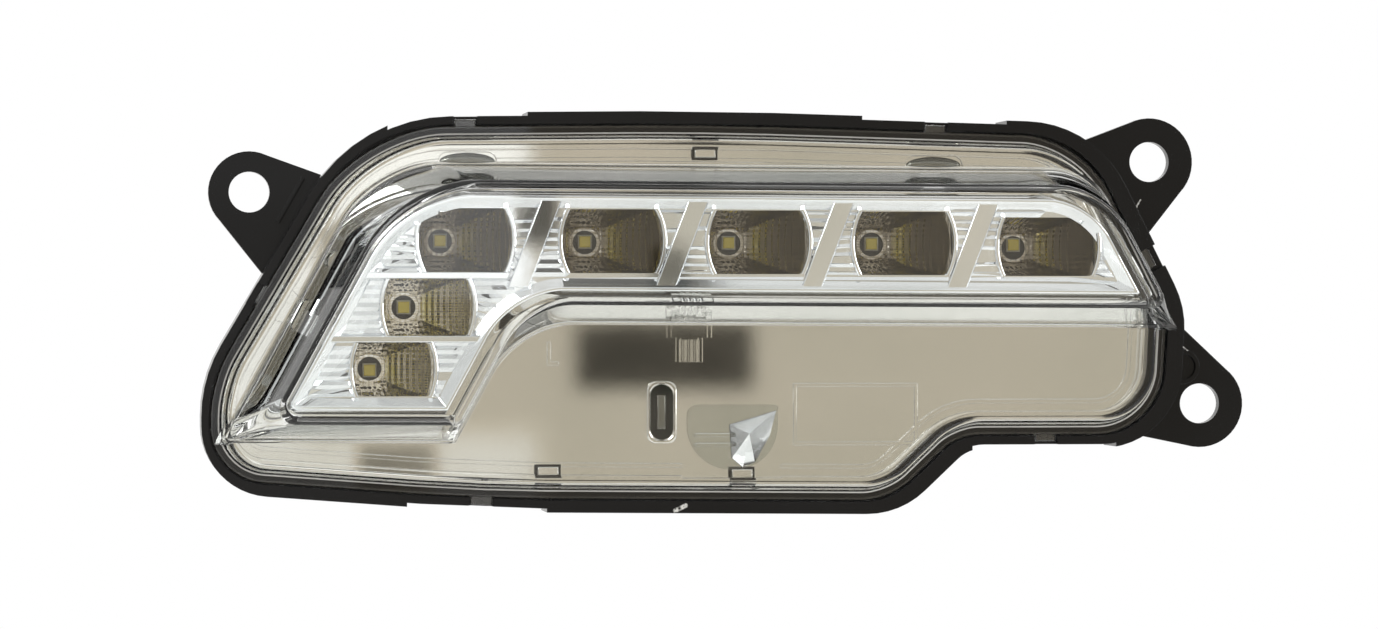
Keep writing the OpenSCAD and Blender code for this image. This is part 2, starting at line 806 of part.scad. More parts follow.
// Border, low ridge inside it, rectangular frame, upright mark and two round bosses
module panel_marks() {
    inner_ring(panel_in, panel_in + 1.3, panel_z - root, panel_z + 1.4);
    inner_ring(panel_in + 3.4, panel_in + 4.4, panel_z - root, panel_z + 0.5);
    slab(panel_z - root, panel_z + 0.5) {
        translate([right - 86.5, bottom + 25.9]) frame_plan([32.6, 16], 0.8);
        translate([left + 89, bottom + 38.7]) {
            square([0.9, 6]);
            square([3, 0.9]);
        }
    }
    translate([left + 28.9, top - 35.2, panel_z - root]) cylinder(r = 2.4, h = 1.3);
    translate([left + 20.9, top - 49.7, panel_z - root]) cylinder(r = 4.4, h = 0.9);
}
module stadium(s) {
    square([s[0], s[1] - s[0]], center = true);
    for (k = [-1, 1])
        translate([0, k * (s[1] - s[0]) / 2]) circle(s[0] / 2);
}
module frame_plan(s, w) {
    difference() {
        square(s, center = true);
        square([s[0] - 2 * w, s[1] - 2 * w], center = true);
    }
}

// Clear block on the base panel: a flat round base, two bars and a faceted point
prism_off = [9, 19.5];
prism_at = [middle, bottom] + prism_off;
prism_size = [24, 18];
module prism_block() {
    base_t = 1;
    base_r = 12.4;
    bar = [9.6, 1, 2];
    bar_left = -9.7;
    peak = [4, 1.5, 5.2];
    foot = [[-0.6, 3.8], [0, -4.9], [2.9, -7.3], [6, -6], [9.8, 0.7], [11.6, 7.4]];
    n = len(foot);
    color([0.8, 0.82, 0.84, 0.6]) front() translate([prism_at[0], prism_at[1], panel_z]) {
        linear_extrude(base_t) intersection() {
            translate([0.8, 4.5]) circle(base_r);
            square(prism_size, center = true);
        }
        for (y = [-1.4, 1.1])
            translate([bar_left, y - bar[1] / 2, base_t / 2]) cube(bar);
        polyhedron(
            points = concat([for (f = foot) [f[0], f[1], base_t / 2]], [peak]),
            faces = concat([[for (i = [0:n - 1]) i]], [for (i = [0:n - 1]) [(i + 1) % n, i, n]]));
    }
}

// Reflector cup k: a bowl from the round foot to the barrel opening
module reflector(k) {
    c = cells[k];
    inside = bezel_t + panel_gap;
    color([0.45, 0.43, 0.4]) front() intersection() {
        difference() {
            bowl(c, cup_t, -board_z + 0.3, cup_z);
            bowl(c, 0, -board_z - 0.2, cup_z + 0.5);
        }
        bezel_loft(inside, inside, -board_z, cup_z + over);
    }
}
module bowl(c, g, z0, z1) {
    wide = barrel_points(c[2] + 2 * g, c[3] + 2 * g);
    rings = [for (t = [0, 0.12, 0.36, 0.68, 1])
        let (s = sqrt(t), z = z0 + (z1 - z0) * t)
        [[for (p = wide)
            let (foot = (cup_hole_r + g) * unit(p), q = foot + (p - foot) * s)
            [c[0] + lean(z) + q[0], c[1] + q[1]]], z]];
    loft(rings);
}

module led(k) {
    p = led_at(k);
    color([0.9, 0.82, 0.35]) front() translate([p[0], p[1], -board_z]) {
        translate([0, 0, led_t / 4]) cube([led_s, led_s, led_t / 2], center = true);
        translate([0, 0, led_t / 2 + led_t / 4 - 0.05])
            cube([led_s - 0.5, led_s - 0.5, led_t / 2 + 0.1], center = true);
    }
}

// Screws of the boards: [x, y]
row_screws_at = [for (k = [0:ROW - 2]) (led_at(k) + led_at(k + 1)) / 2];
column_screws_at = [(led_at(ROW) + led_at(ROW + 1)) / 2];
module screw_holes(points, z0, z1, r) {
    for (p = points)
        translate([p[0], p[1], z0]) cylinder(r = r, h = z1 - z0, $fn = 24);
}

module row_board() {
    color([0.12, 0.12, 0.12]) front() difference() {
        slab(board_back, -board_z) row_plan();
        screw_holes(row_screws_at, board_back - over, -board_z + over, screw_r + screw_gap);
    }
}
module column_board() {
    color([0.12, 0.12, 0.12]) front() difference() {
        slab(board_back, -board_z) column_plan();
        screw_holes(column_screws_at, board_back - over, -board_z + over, screw_r + screw_gap);
    }
}
module row_pad() {
    color([0.55, 0.6, 0.68]) front() difference() {
        slab(pad_back, board_back) row_plan(-edge_in);
        screw_holes(row_screws_at, pad_back - over, board_back + over, screw_r + screw_gap);
    }
}
module column_pad() {
    color([0.55, 0.6, 0.68]) front() difference() {
        slab(pad_back, board_back) column_plan(-edge_in);
        screw_holes(column_screws_at, pad_back - over, board_back + over, screw_r + screw_gap);
    }
}

// Pan head screw, with its head's underside at z = 0
head_t = 1.3;
module screw(length) {
    translate([0, 0, -length]) cylinder(r = core_r, h = length + root, $fn = 24);
    difference() {
        cylinder(r = screw_r + 1.2, h = head_t, $fn = 32);
        translate([0, 0, head_t / 2]) cylinder(r = 0.9, h = head_t, $fn = 6);
    }
}
module board_screws() {
    color([0.7, 0.7, 0.7]) front()
        for (p = concat(row_screws_at, column_screws_at))
            translate([p[0], p[1], -board_z]) screw(5);
}

// Heat sink: raised seat through the housing's floor, outer flange and fins
sink_top = floor_back - gasket_t;
module heat_sink() {
    color([0.66, 0.67, 0.69]) front() difference() {
        union() {
            slab(sink_top - sink_t, pad_back) seat_plan(seat_margin);
            slab(sink_top - sink_t, sink_top) seat_plan(seat_margin + flange_w);
            fins();
        }
        difference() {
            slab(sink_top - sink_t - over, pad_back - sink_t) seat_plan(seat_margin - sink_t + 0.6);
            fins();
        }
        screw_holes(concat(row_screws_at, column_screws_at), pad_back - 6, pad_back + over, core_r);
        screw_holes(sink_screws_at, sink_top - sink_t - over, sink_top + over, screw_r + screw_gap);
    }
}
module fins() {
    slab(-fin_z, pad_back - sink_t + 0.1) intersection() {
        seat_plan(seat_margin - 0.2);
        for (x = [left + 2:fin_pitch:right])
            translate([x, -100]) square([fin_t, 160]);
    }
}
module sink_gasket() {
    color([0.12, 0.12, 0.12]) front() difference() {
        slab(sink_top, floor_back) seat_plan(seat_margin + flange_w - edge_in);
        slab(sink_top - over, floor_back + over) seat_plan(seat_margin + seat_gap);
        screw_holes(sink_screws_at, sink_top - over, floor_back + over, screw_r + screw_gap);
    }
}
module sink_screws() {
    color([0.62, 0.62, 0.6]) front()
        for (p = sink_screws_at)
            translate([p[0], p[1], sink_top - sink_t]) rotate([180, 0, 0]) screw(sink_t + gasket_t + 5);
}

// Driver board in the pocket, with its parts
driver_rise = 8;
driver_z = -pocket_z + driver_rise;
header_t = 4.4;
board_gap = 0.3;
module driver_board() {
    color([0.1, 0.3, 0.2]) front() {
        slab(driver_z - board_t, driver_z) pocket_plan(-board_gap);
        // Two capacitors and a coil
        for (x = [14, 32])
            translate([pocket_x + pocket_l - x, pocket_y + 10, driver_z - root]) cylinder(r = 4, h = 5);
        translate([pocket_x + pocket_l - 50, pocket_y + pocket_h / 2 - 5, driver_z - root]) cube([10, 10, 4]);
        // Header of the flat conductor
        translate([link_x - 1, pocket_y + pocket_h - 10.4, driver_z - root])
            cube([link_w + 2, 5, header_t + root]);
    }
}

// Flat conductor from the row board into the pocket
link_in = 14;
link_x = pocket_x + link_in;
link_w = 12;
link_t = 0.5;
module board_link() {
    y0 = row_low;
    y1 = pocket_y + pocket_h - 8;
    z0 = -board_z - board_t / 2;
    z1 = -floor_z + 2;
    low_end = driver_z + header_t;
    bends = [[y0, z0], [y0 - 3, z0], [y0 - 6, z1]];
    under = concat(bends, [[y1 + link_t, z1], [y1 + link_t, low_end]]);
    above = concat([[y1, low_end], [y1, z1 + link_t]], [for (k = [2, 1, 0]) bends[k] + [0, link_t]]);
    color([0.8, 0.6, 0.2]) front() translate([link_x, 0, 0]) rotate([90, 0, 90])
        linear_extrude(link_w) polygon(concat(under, above));
}

cover_back = -pocket_z - gasket_t - cover_t;
module rear_cover() {
    color([0.1, 0.1, 0.105]) front() difference() {
        union() {
            slab(cover_back, -pocket_z - gasket_t) cover_plan();
            // Spigot inside the pocket
            slab(-pocket_z - gasket_t, -pocket_z + 3) difference() {
                pocket_plan(-board_gap);
                pocket_plan(-board_gap - 1.5);
            }
            // Low ribs outside
            slab(cover_back - 1.2, cover_back + root)
                for (x = [socket_at[0] + socket_l / 2 + 9:7:pocket_x + pocket_l - 6])
                    translate([x, pocket_y + 4]) square([1.4, pocket_h - 8]);
        }
        translate([socket_at[0], socket_at[1], -pocket_z - 10])
            linear_extrude(20) square([socket_l + 0.6, socket_h + 0.6], center = true);
        screw_holes(cover_screws_at, -pocket_z - 10, -pocket_z + over, screw_r + screw_gap);
    }
}
module cover_plan() {
    pocket_plan(wall);
    for (p = cover_screws_at)
        translate(p) circle(boss_r);
}
module cover_gasket() {
    color([0.12, 0.12, 0.12]) front() difference() {
        slab(-pocket_z - gasket_t, -pocket_z) cover_plan();
        slab(-pocket_z - gasket_t - over, -pocket_z + over) pocket_plan(-0.1);
        screw_holes(cover_screws_at, -pocket_z - gasket_t - over, -pocket_z + over, screw_r + screw_gap);
    }
}
module cover_screws() {
    color([0.62, 0.62, 0.6]) front()
        for (p = cover_screws_at)
            translate([p[0], p[1], cover_back]) rotate([180, 0, 0]) screw(cover_t + gasket_t + 6);
}

// Shrouded connector socket, open to the rear
socket_back = cover_back - socket_d;
socket_floor = socket_back + socket_d - 1;
seal_t = 0.8;
pin_s = 0.8;
module connector_socket() {
    color([0.14, 0.14, 0.15]) front() translate([socket_at[0], socket_at[1], 0]) difference() {
        union() {
            slab(socket_back, -pocket_z + 1) square([socket_l, socket_h], center = true);
            slab(cover_back - seal_t - 1.8, cover_back - seal_t)
                square([socket_l + 2 * socket_flange, socket_h + 2 * socket_flange], center = true);
            // Latch ramp on top
            translate([0, socket_h / 2 - root, socket_back + 4]) rotate([90, 0, 90])
                translate([0, 0, -3]) linear_extrude(6) polygon([[0, 0], [1.8, 3], [1.8, 4.4], [0, 4.4]]);
        }
        slab(socket_back - over, socket_floor)
            square([socket_l - 2 * socket_t, socket_h - 2 * socket_t], center = true);
        for (x = pin_xs)
            translate([x, 0, socket_floor - 3]) linear_extrude(10) square(pin_s, center = true);
    }
}
pin_xs = [-6, -2, 2, 6];
module socket_seal() {
    color([0.7, 0.35, 0.15]) front() translate([socket_at[0], socket_at[1], 0])
        slab(cover_back - seal_t, cover_back) difference() {
            square([socket_l + 2 * socket_flange - 1, socket_h + 2 * socket_flange - 1], center = true);
            square([socket_l, socket_h], center = true);
        }
}
module terminal_pins() {
    color([0.8, 0.7, 0.4]) front() translate([socket_at[0], socket_at[1], 0])
        for (x = pin_xs)
            translate([x, 0, socket_back + 4]) linear_extrude(driver_z - board_t - socket_back - 4)
                square(pin_s, center = true);
}

module vent_cap() {
    color([0.15, 0.15, 0.15]) front() translate([vent_at[0], vent_at[1], floor_back - 4]) difference() {
        union() {
            translate([0, 0, -2]) cylinder(r = vent_r, h = 2);
            // Skirt round the housing's vent pipe
            rotate_extrude()
                polygon([[pipe_r + 0.3, -root], [vent_r, -root], [vent_r, 2], [pipe_r + 0.3, 2]]);
            // Stem in the pipe
            translate([0, 0, -root]) cylinder(r = pipe_bore - 0.3, h = 3);
        }
        translate([0, 0, 0.5]) cylinder(r = pipe_bore - 1.4, h = 4);
    }
}

housing();
outer_lens();
lens_seal();
bezel();
base_panel();
prism_block();
for (k = [1:CELLS])
    reflector(k - 1);
for (k = [1:CELLS])
    led(k - 1);
row_board();
column_board();
row_pad();
column_pad();
board_screws();
board_link();
heat_sink();
sink_gasket();
sink_screws();
driver_board();
rear_cover();
cover_gasket();
cover_screws();
connector_socket();
socket_seal();
terminal_pins();
vent_cap();
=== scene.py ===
"""Daytime running lamp: smooth visual pieces, materials and a studio round the fixed frame.

Plans are in millimetres in the lamp's own frame: x to the right, z up, and h towards the viewer, measured from the
front of the ears. place() turns them into the frame's metres.
"""
import math

import bmesh
import bpy
from bpy.props import FloatProperty, FloatVectorProperty, PointerProperty
from mathutils import Matrix, Vector
from mathutils.kdtree import KDTree


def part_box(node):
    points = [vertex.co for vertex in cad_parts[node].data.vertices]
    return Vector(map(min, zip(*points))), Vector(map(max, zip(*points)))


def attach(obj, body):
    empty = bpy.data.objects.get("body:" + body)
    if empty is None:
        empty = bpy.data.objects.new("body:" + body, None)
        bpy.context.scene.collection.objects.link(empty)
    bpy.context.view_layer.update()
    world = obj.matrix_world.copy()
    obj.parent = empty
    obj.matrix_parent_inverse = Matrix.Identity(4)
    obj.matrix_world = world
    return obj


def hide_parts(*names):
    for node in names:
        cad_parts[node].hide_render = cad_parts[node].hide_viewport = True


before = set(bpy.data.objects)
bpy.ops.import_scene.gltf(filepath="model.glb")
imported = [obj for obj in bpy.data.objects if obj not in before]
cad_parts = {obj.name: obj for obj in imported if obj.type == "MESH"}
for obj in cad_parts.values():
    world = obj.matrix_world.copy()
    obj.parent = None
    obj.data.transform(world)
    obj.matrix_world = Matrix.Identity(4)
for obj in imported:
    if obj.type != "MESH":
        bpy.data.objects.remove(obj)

bl_info = {
    "name": "Daytime running lamp",
    "version": (1, 0, 0),
    "blender": (4, 5, 0),
    "location": "View3D > Sidebar > Lamp",
    "description": "Builds the lamp's clear lens, bright inner pieces, materials and studio on its frame",
    "category": "Object",
}

MM = 0.001


def front_of(node):
    """How far a CAD node reaches towards the viewer."""
    return -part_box(node)[0][1] / MM


def centre_of(node):
    """Centre of a CAD node as (x, z)."""
    low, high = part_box(node)
    return (low[0] + high[0]) / 2 / MM, (low[2] + high[2]) / 2 / MM


# Heights of the main planes
FACE = front_of("outer_lens")
LIP = front_of("bezel")
CUP = front_of("reflector_1")
PLATE = CUP + 2.0
PANE = 13.0
PANEL = -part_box("bezel")[1][1] / MM
LEDGE = front_of("housing") - 3.5
FLANGE = LEDGE + 2.2
BEAD = front_of("lens_seal")
BOARD = front_of("row_board")

# Moulding direction of the inner pieces, and draft of the raised window's walls
LEAN = math.tan(math.radians(12.0))
DRAFT = math.tan(math.radians(15.0))

# Rim outline
RIM_L, RIM_H, RIM_LEFT, RIM_TOP = 256.0, 104.0, -12.5, 20.7
STEP_H, STEP_L = 17.0, 55.6
LEFT_FLANK, RIGHT_FLANK = math.radians(58.4), math.radians(63.4)
RIM_RIGHT, RIM_BOTTOM = RIM_LEFT + RIM_L, RIM_TOP - RIM_H
MIDDLE = (RIM_LEFT + RIM_RIGHT) / 2
SHOULDER = RIM_BOTTOM + STEP_H
INNER_SHIFT = 1.2

# Raised window and the bezel behind it
ROW_H, COLUMN_H, COLUMN_W = 30.9, 61.5, 48.1
WINDOW_Z, ROW_FALL = 2.4, 1.0
COT = 1.0 / math.tan(math.radians(61.5))
BEZEL_IN, LIP_W, SLOPE_W, BEZEL_T = 3.4, 0.8, 2.7, 2.0
FIELD_IN = LIP_W + SLOPE_W
MARK_H = 1.2
FIRST_CELL, LAST_CELL, CELL_GAP, CELL_R = 17.6, 12.5, 12.0, 17.0
LEDS = [centre_of(f"led_{k}") for k in range(1, 8)]
PITCH = LEDS[1][0] - LEDS[0][0]
WINDOW_X = LEDS[0][0] + FACE * LEAN - FIRST_CELL
ROW_L = FIRST_CELL + 4 * PITCH + LAST_CELL
ARC = [math.radians(a) for a in range(0, 91, 15)]

# Places on the base panel
CLIPS = [(MIDDLE + 1.9, RIM_TOP - 10.5), (RIM_LEFT + 89.1, RIM_BOTTOM + 11.4), (MIDDLE + 11.6, RIM_BOTTOM + 10.6)]
RECESSES = [(RIM_LEFT + 68.4, RIM_TOP - 12.7), (RIM_RIGHT - 65.8, RIM_TOP - 13.3)]
OVAL_X, OVAL_Z, OVAL_W, OVAL_L = MIDDLE - 9.2, RIM_BOTTOM + 26.5, 6.0, 14.3
PRISM_X, PRISM_Z = MIDDLE + 9.0, RIM_BOTTOM + 19.5


def place(x, z, h):
    """A point of a plan, in metres in the row frame."""
    return Vector((x * MM, -h * MM, z * MM))


def rim_corners():
    """Corners of the rim as (x, z, radius), counterclockwise from the lower left."""
    hip, flank = RIM_BOTTOM + 35.5, SHOULDER + 36.7
    step_x = RIM_RIGHT - STEP_L - 1.9
    upper_right = RIM_RIGHT - (RIM_TOP - 2.4 - flank) / math.tan(RIGHT_FLANK)
    upper_left = RIM_LEFT + (RIM_TOP + 0.7 - hip) / math.tan(LEFT_FLANK) - 2.6
    return [
        (RIM_LEFT, RIM_BOTTOM + 6.5, 18.0),
        (RIM_LEFT + 72.5, RIM_BOTTOM + 1.0, 500.0),
        (step_x - (STEP_H + 0.1) * 1.05, RIM_BOTTOM, 22.0),
        (step_x, SHOULDER, 10.0),
        (RIM_RIGHT - 2.0, SHOULDER, 21.5),
        (RIM_RIGHT, flank, 25.0),
        (upper_right, RIM_TOP - 2.4, 30.0),
        (RIM_LEFT + 130.0, RIM_TOP + 0.4, 900.0),
        (upper_left, RIM_TOP - 0.6, 42.0),
        (RIM_LEFT, hip, 36.0),
    ]


def window_corners():
    """Corners of the raised window at its front as (x, z, radius)."""
    foot = WINDOW_X - COLUMN_H * COT
    raw = [
        (foot, WINDOW_Z - COLUMN_H, 5.0),
        (foot + COLUMN_W, WINDOW_Z - COLUMN_H, 2.2),
        (foot + COLUMN_W + (COLUMN_H - ROW_H) * COT, WINDOW_Z - ROW_H, 19.0),
        (WINDOW_X + ROW_L + ROW_H * COT, WINDOW_Z - ROW_H, 3.4),
        (WINDOW_X + ROW_L, WINDOW_Z, 22.0),
        (WINDOW_X, WINDOW_Z, 33.0),
    ]
    return [(x, z - ROW_FALL * (x - WINDOW_X) / ROW_L, r) for x, z, r in raw]


def turn_at(corners, i):
    """Directions of the two edges that meet at a corner, and the angle between them."""
    a, p, b = (Vector(corners[(i + k) % len(corners)][:2]) for k in (-1, 0, 1))
    u, v = (p - a).normalized(), (b - p).normalized()
    return u, v, math.atan2(u.x * v.y - u.y * v.x, u.dot(v))


def inset(corners, d, dx=0.0):
    """The outline d further in, moved dx to the right."""
    out = []
    for i, (x, z, r) in enumerate(corners):
        u, v, turn = turn_at(corners, i)
        n1, n2 = Vector((-u.y, u.x)), Vector((-v.y, v.x))
        q = Vector((x, z)) + d * (n1 + n2) / (1 + n1.dot(n2))
        out.append((q.x + dx, q.y, max(0.3, r - math.copysign(d, turn))))
    return out


def lean(h):
    """Sideways position of the inner mouldings at height h."""
    return (h - FACE) * LEAN


def rim_at(d, dx=0.0):
    return inset(rim_corners(), d, dx - INNER_SHIFT)


def window_at(d, h):
    return inset(window_corners(), d - (FACE - h) * DRAFT, lean(h))


def bezel_at(d, h):
    return inset(window_corners(), BEZEL_IN + d - (LIP - h) * DRAFT, lean(h))


def cells():
    """The seven cells in the plan of the ears' front as (x, lower z, upper z, width), inside the bezel's field."""
    field = bezel_at(FIELD_IN + 0.25, PLATE)
    foot, top = field[0][1], field[5][1]
    out = []
    for k, (x, z) in enumerate(LEDS):
        half = 8.3 if k < 5 else 7.2
        width = PITCH - CELL_GAP - (2.0, 0, 0, 0, 0, 3.0, 5.2)[k]
        # the last cell of the row stays under the field's rounded corner
        ceiling = top - ROW_FALL * (x + width / 2 - WINDOW_X) / ROW_L - (1.2 if k == 4 else 0.0)
        out.append((x, max(z - half, foot), min(z + half, ceiling), width))
    return out


def ring(bm, corners, h):
    """A closed wire with rounded corners at height h; returns its edges."""
    known = set(bm.edges)
    verts = [bm.verts.new(place(x, z, h)) for x, z, r in corners]
    for i, v in enumerate(verts):
        bm.edges.new((verts[i - 1], v))
    for i, v in enumerate(verts):
        turn = abs(turn_at(corners, i)[2])
        bmesh.ops.bevel(
            bm, geom=[v], offset=corners[i][2] * math.tan(turn / 2) * MM, offset_type="OFFSET",
            segments=max(2, round(math.degrees(turn) / 4)), profile=0.5, affect="VERTICES", material=-1)
    return [e for e in bm.edges if e not in known]


def barrel(bm, cell, h, grow=0.0, cuts=9):
    """A closed wire round a cell at height h, with bulging sides and a straight top and bottom."""
    known = set(bm.edges)
    x, low, high, width = cell
    x += h * LEAN
    middle, half = (low + high) / 2, (high - low) / 2 + grow
    reach = math.asin(half / CELL_R)
    ends = []
    for side in (1, -1):
        centre = x + side * (width / 2 + grow - CELL_R)
        start = bm.verts.new(place(centre + side * CELL_R * math.cos(reach), middle - side * half, h))
        made = bmesh.ops.spin(
            bm, geom=[start], cent=place(centre, middle, h), axis=(0, -1, 0), angle=2 * reach, steps=16,
            use_merge=False, use_duplicate=False)
        last = [g for g in made["geom_last"] if isinstance(g, bmesh.types.BMVert)][0]
        ends += [start, last]
    straight = [bm.edges.new((ends[1], ends[2])), bm.edges.new((ends[3], ends[0]))]
    bmesh.ops.subdivide_edges(bm, edges=straight, cuts=cuts)
    return [e for e in bm.edges if e not in known]


def fill(bm, edges):
    """Flat faces between closed wires."""
    made = bmesh.ops.triangle_fill(bm, use_beauty=True, use_dissolve=False, edges=edges, normal=(0, -1, 0))
    return [g for g in made["geom"] if isinstance(g, bmesh.types.BMFace)]


def loft(bm, rings):
    """Joins each ring to the next: rings at one height by flat faces, others by a bridge."""
    for low, high in zip(rings, rings[1:]):
        if abs(low[0].verts[0].co.y - high[0].verts[0].co.y) < 1e-8:
            fill(bm, low + high)
        else:
            bmesh.ops.bridge_loops(bm, edges=low + high)


def block(rings, closed=False):
    """An object through outlines given as (corners, height), capped at both ends or closed round to its start."""
    bm = bmesh.new()
    wires = [ring(bm, corners, h) for corners, h in rings]
    loft(bm, wires)
    if closed:
        loft(bm, [wires[-1], wires[0]])
    else:
        fill(bm, wires[0])
        fill(bm, wires[-1])
    return helper(bm)


def helper(bm):
    """An object made of a closed mesh, to take part in a Boolean step."""
    bmesh.ops.recalc_face_normals(bm, faces=bm.faces)
    mesh = bpy.data.meshes.new("helper")
    bm.to_mesh(mesh)
    bm.free()
    obj = bpy.data.objects.new("helper", mesh)
    bpy.context.scene.collection.objects.link(obj)
    return obj


def combine(base, *steps):
    """The mesh of an object after Boolean steps given as (operation, object); the objects are deleted."""
    for operation, other in steps:
        step = base.modifiers.new(operation, "BOOLEAN")
        step.operation, step.object, step.solver = operation, other, "MANIFOLD"
    bpy.context.view_layer.update()
    result = base.evaluated_get(bpy.context.evaluated_depsgraph_get())
    bm = bmesh.new()
    bm.from_mesh(result.to_mesh())
    result.to_mesh_clear()
    for obj in (base, *(other for operation, other in steps)):
        bpy.data.meshes.remove(obj.data)
    return bm


def prism(bm, points, h0, h1):
    """A straight prism on an outline of (x, z) points."""
    face = bm.faces.new([bm.verts.new(place(x, z, h0)) for x, z in points])
    made = bmesh.ops.extrude_face_region(bm, geom=[face])["geom"]
    bmesh.ops.translate(bm, verts=[g for g in made if isinstance(g, bmesh.types.BMVert)], vec=place(0, 0, h1 - h0))


def slab(bm, x, z, size, h0, h1, slant=0.0, turn=0.0, edge=0.0):
    """A block centred at (x, z), slanted or turned in the plan, with its front edges rounded."""
    shear = Matrix.Identity(4)
    shear[0][2] = slant
    shape = Matrix.Diagonal((size[0] * MM, (h1 - h0) * MM, size[1] * MM, 1.0))
    where = Matrix.Translation(place(x, z, (h0 + h1) / 2))
    made = bmesh.ops.create_cube(bm, size=1.0, matrix=where @ Matrix.Rotation(turn, 4, "Y") @ shear @ shape)
    if edge:
        front = -(h1 - 1e-3) * MM
        rims = [e for e in {e for v in made["verts"] for e in v.link_edges} if all(v.co.y < front for v in e.verts)]
        bmesh.ops.bevel(bm, geom=rims, offset=edge * MM, offset_type="OFFSET", segments=3, profile=0.5,
                        affect="EDGES", material=-1)


def finish(name, bm, materials, node, sharp=35.0):
    """Turns a closed mesh into a piece, which stands for a CAD node where one is named."""
    bmesh.ops.recalc_face_normals(bm, faces=bm.faces)
    limit = math.radians(sharp)
    for e in bm.edges:
        e.smooth = len(e.link_faces) == 2 and e.calc_face_angle(0.0) < limit
    for f in bm.faces:
        # faces square to the front stay flat, so that they mirror and refract as planes
        f.smooth = abs(f.normal.y) < 0.99999
    mesh = bpy.data.meshes.new(name)
    bm.to_mesh(mesh)
    bm.free()
    for m in materials:
        mesh.materials.append(m)
    obj = bpy.data.objects.new(name, mesh)
    bpy.context.scene.collection.objects.link(obj)
    # rounded edges take the normals of the large faces beside them
    obj.modifiers.new("Weighted normals", "WEIGHTED_NORMAL").keep_sharp = True
    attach(obj, "root")
    if node:
        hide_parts(node)
    return obj


def linear(colour):
    """Linear RGBA from an sRGB colour such as "#a0b1c2"."""
    out = []
    for i in (1, 3, 5):
        c = int(colour[i:i + 2], 16) / 255
        out.append(c / 12.92 if c <= 0.04045 else ((c + 0.055) / 1.055) ** 2.4)
    return (*out, 1.0)


def add_node(tree, kind, inputs=None, **settings):
    """One node, with its settings and the values or links of its inputs."""
    node = tree.nodes.new(kind)
    for key, value in settings.items():
        setattr(node, key, value)
    for key, value in (inputs or {}).items():
        if isinstance(value, bpy.types.NodeSocket):
            tree.links.new(value, node.inputs[key])
        else:
            node.inputs[key].default_value = value
    return node


def new_tree(name):
    """An empty material and its node tree."""
    mat = bpy.data.materials.new(name)
    mat.use_nodes = True
    mat.node_tree.nodes.clear()
    return mat, mat.node_tree


def noise(tree, size, detail=2.0):
    """Noise whose blobs are size millimetres wide."""
    where = add_node(tree, "ShaderNodeTexCoord").outputs["Object"]
    return add_node(tree, "ShaderNodeTexNoise", {
        "Vector": where, "Scale": 1.0 / (size * MM), "Detail": detail}).outputs["Fac"]


def spread(tree, value, low, high):
    return add_node(tree, "ShaderNodeMapRange", {
        "Value": value, "From Min": 0.3, "From Max": 0.7, "To Min": low, "To Max": high}).outputs["Result"]


def two_tones(tree, size, dark, light):
    """Two close colours in soft patches."""
    return add_node(tree, "ShaderNodeMix", {
        0: noise(tree, size), 6: linear(dark), 7: linear(light)}, data_type="RGBA").outputs[2]


def texture(tree, grain, depth, edge=0.0):
    """Normal of a fine texture, over edges rounded by a radius; all in millimetres."""
    inputs = {"Height": noise(tree, grain, 3.0), "Strength": 1.0, "Distance": depth * MM}
    if edge:
        inputs["Normal"] = add_node(tree, "ShaderNodeBevel", {"Radius": edge * MM}, samples=4).outputs[0]
    return add_node(tree, "ShaderNodeBump", inputs).outputs["Normal"]


def scuffed(tree, colour, scuffs):
    """A colour with short pale scratches, each given as (x, z) of both ends and a width in millimetres."""
    where = add_node(tree, "ShaderNodeTexCoord").outputs["Object"]
    flat = add_node(tree, "ShaderNodeVectorMath", {0: where, 1: (1, 0, 1)}, operation="MULTIPLY").outputs[0]
    broken = spread(tree, noise(tree, 0.7), 0.0, 1.8)
    for x0, z0, x1, z1, width in scuffs:
        run = place(x1, z1, 0) - place(x0, z0, 0)
        offset = add_node(tree, "ShaderNodeVectorMath", {0: flat, 1: place(x0, z0, 0)}, operation="SUBTRACT").outputs[0]
        along = add_node(tree, "ShaderNodeVectorMath", {
            0: offset, 1: run / run.length_squared}, operation="DOT_PRODUCT").outputs["Value"]
        share = add_node(tree, "ShaderNodeClamp", {"Value": along}).outputs[0]
        foot = add_node(tree, "ShaderNodeVectorMath", {0: run, "Scale": share}, operation="SCALE").outputs[0]
        away = add_node(tree, "ShaderNodeVectorMath", {0: offset, 1: foot}, operation="DISTANCE").outputs["Value"]
        near = add_node(tree, "ShaderNodeMapRange", {
            "Value": away, "From Min": width * 0.3 * MM, "From Max": width * 0.6 * MM, "To Min": 1.0, "To Max": 0.0})
        mask = add_node(tree, "ShaderNodeMath", {
            0: near.outputs[0], 1: broken}, operation="MULTIPLY", use_clamp=True).outputs[0]
        colour = add_node(tree, "ShaderNodeMix", {
            0: mask, 6: colour, 7: linear("#b9b8b4")}, data_type="RGBA").outputs[2]
    return colour


def plastic(name, dark, light, rough, grain, depth, edge=0.0, specular=0.5, scuffs=()):
    """Moulded plastic, rubber or lacquer: two close tones, a texture of the mould and scuffs."""
    mat, tree = new_tree(name)
    shader = add_node(tree, "ShaderNodeBsdfPrincipled", {
        "Base Color": scuffed(tree, two_tones(tree, 15.0, dark, light), scuffs),
        "Roughness": spread(tree, noise(tree, 40.0), rough - 0.04, rough + 0.05),
        "Specular IOR Level": specular,
        "Normal": texture(tree, grain, depth, edge)})
    add_node(tree, "ShaderNodeOutputMaterial", {"Surface": shader.outputs[0]})
    return mat


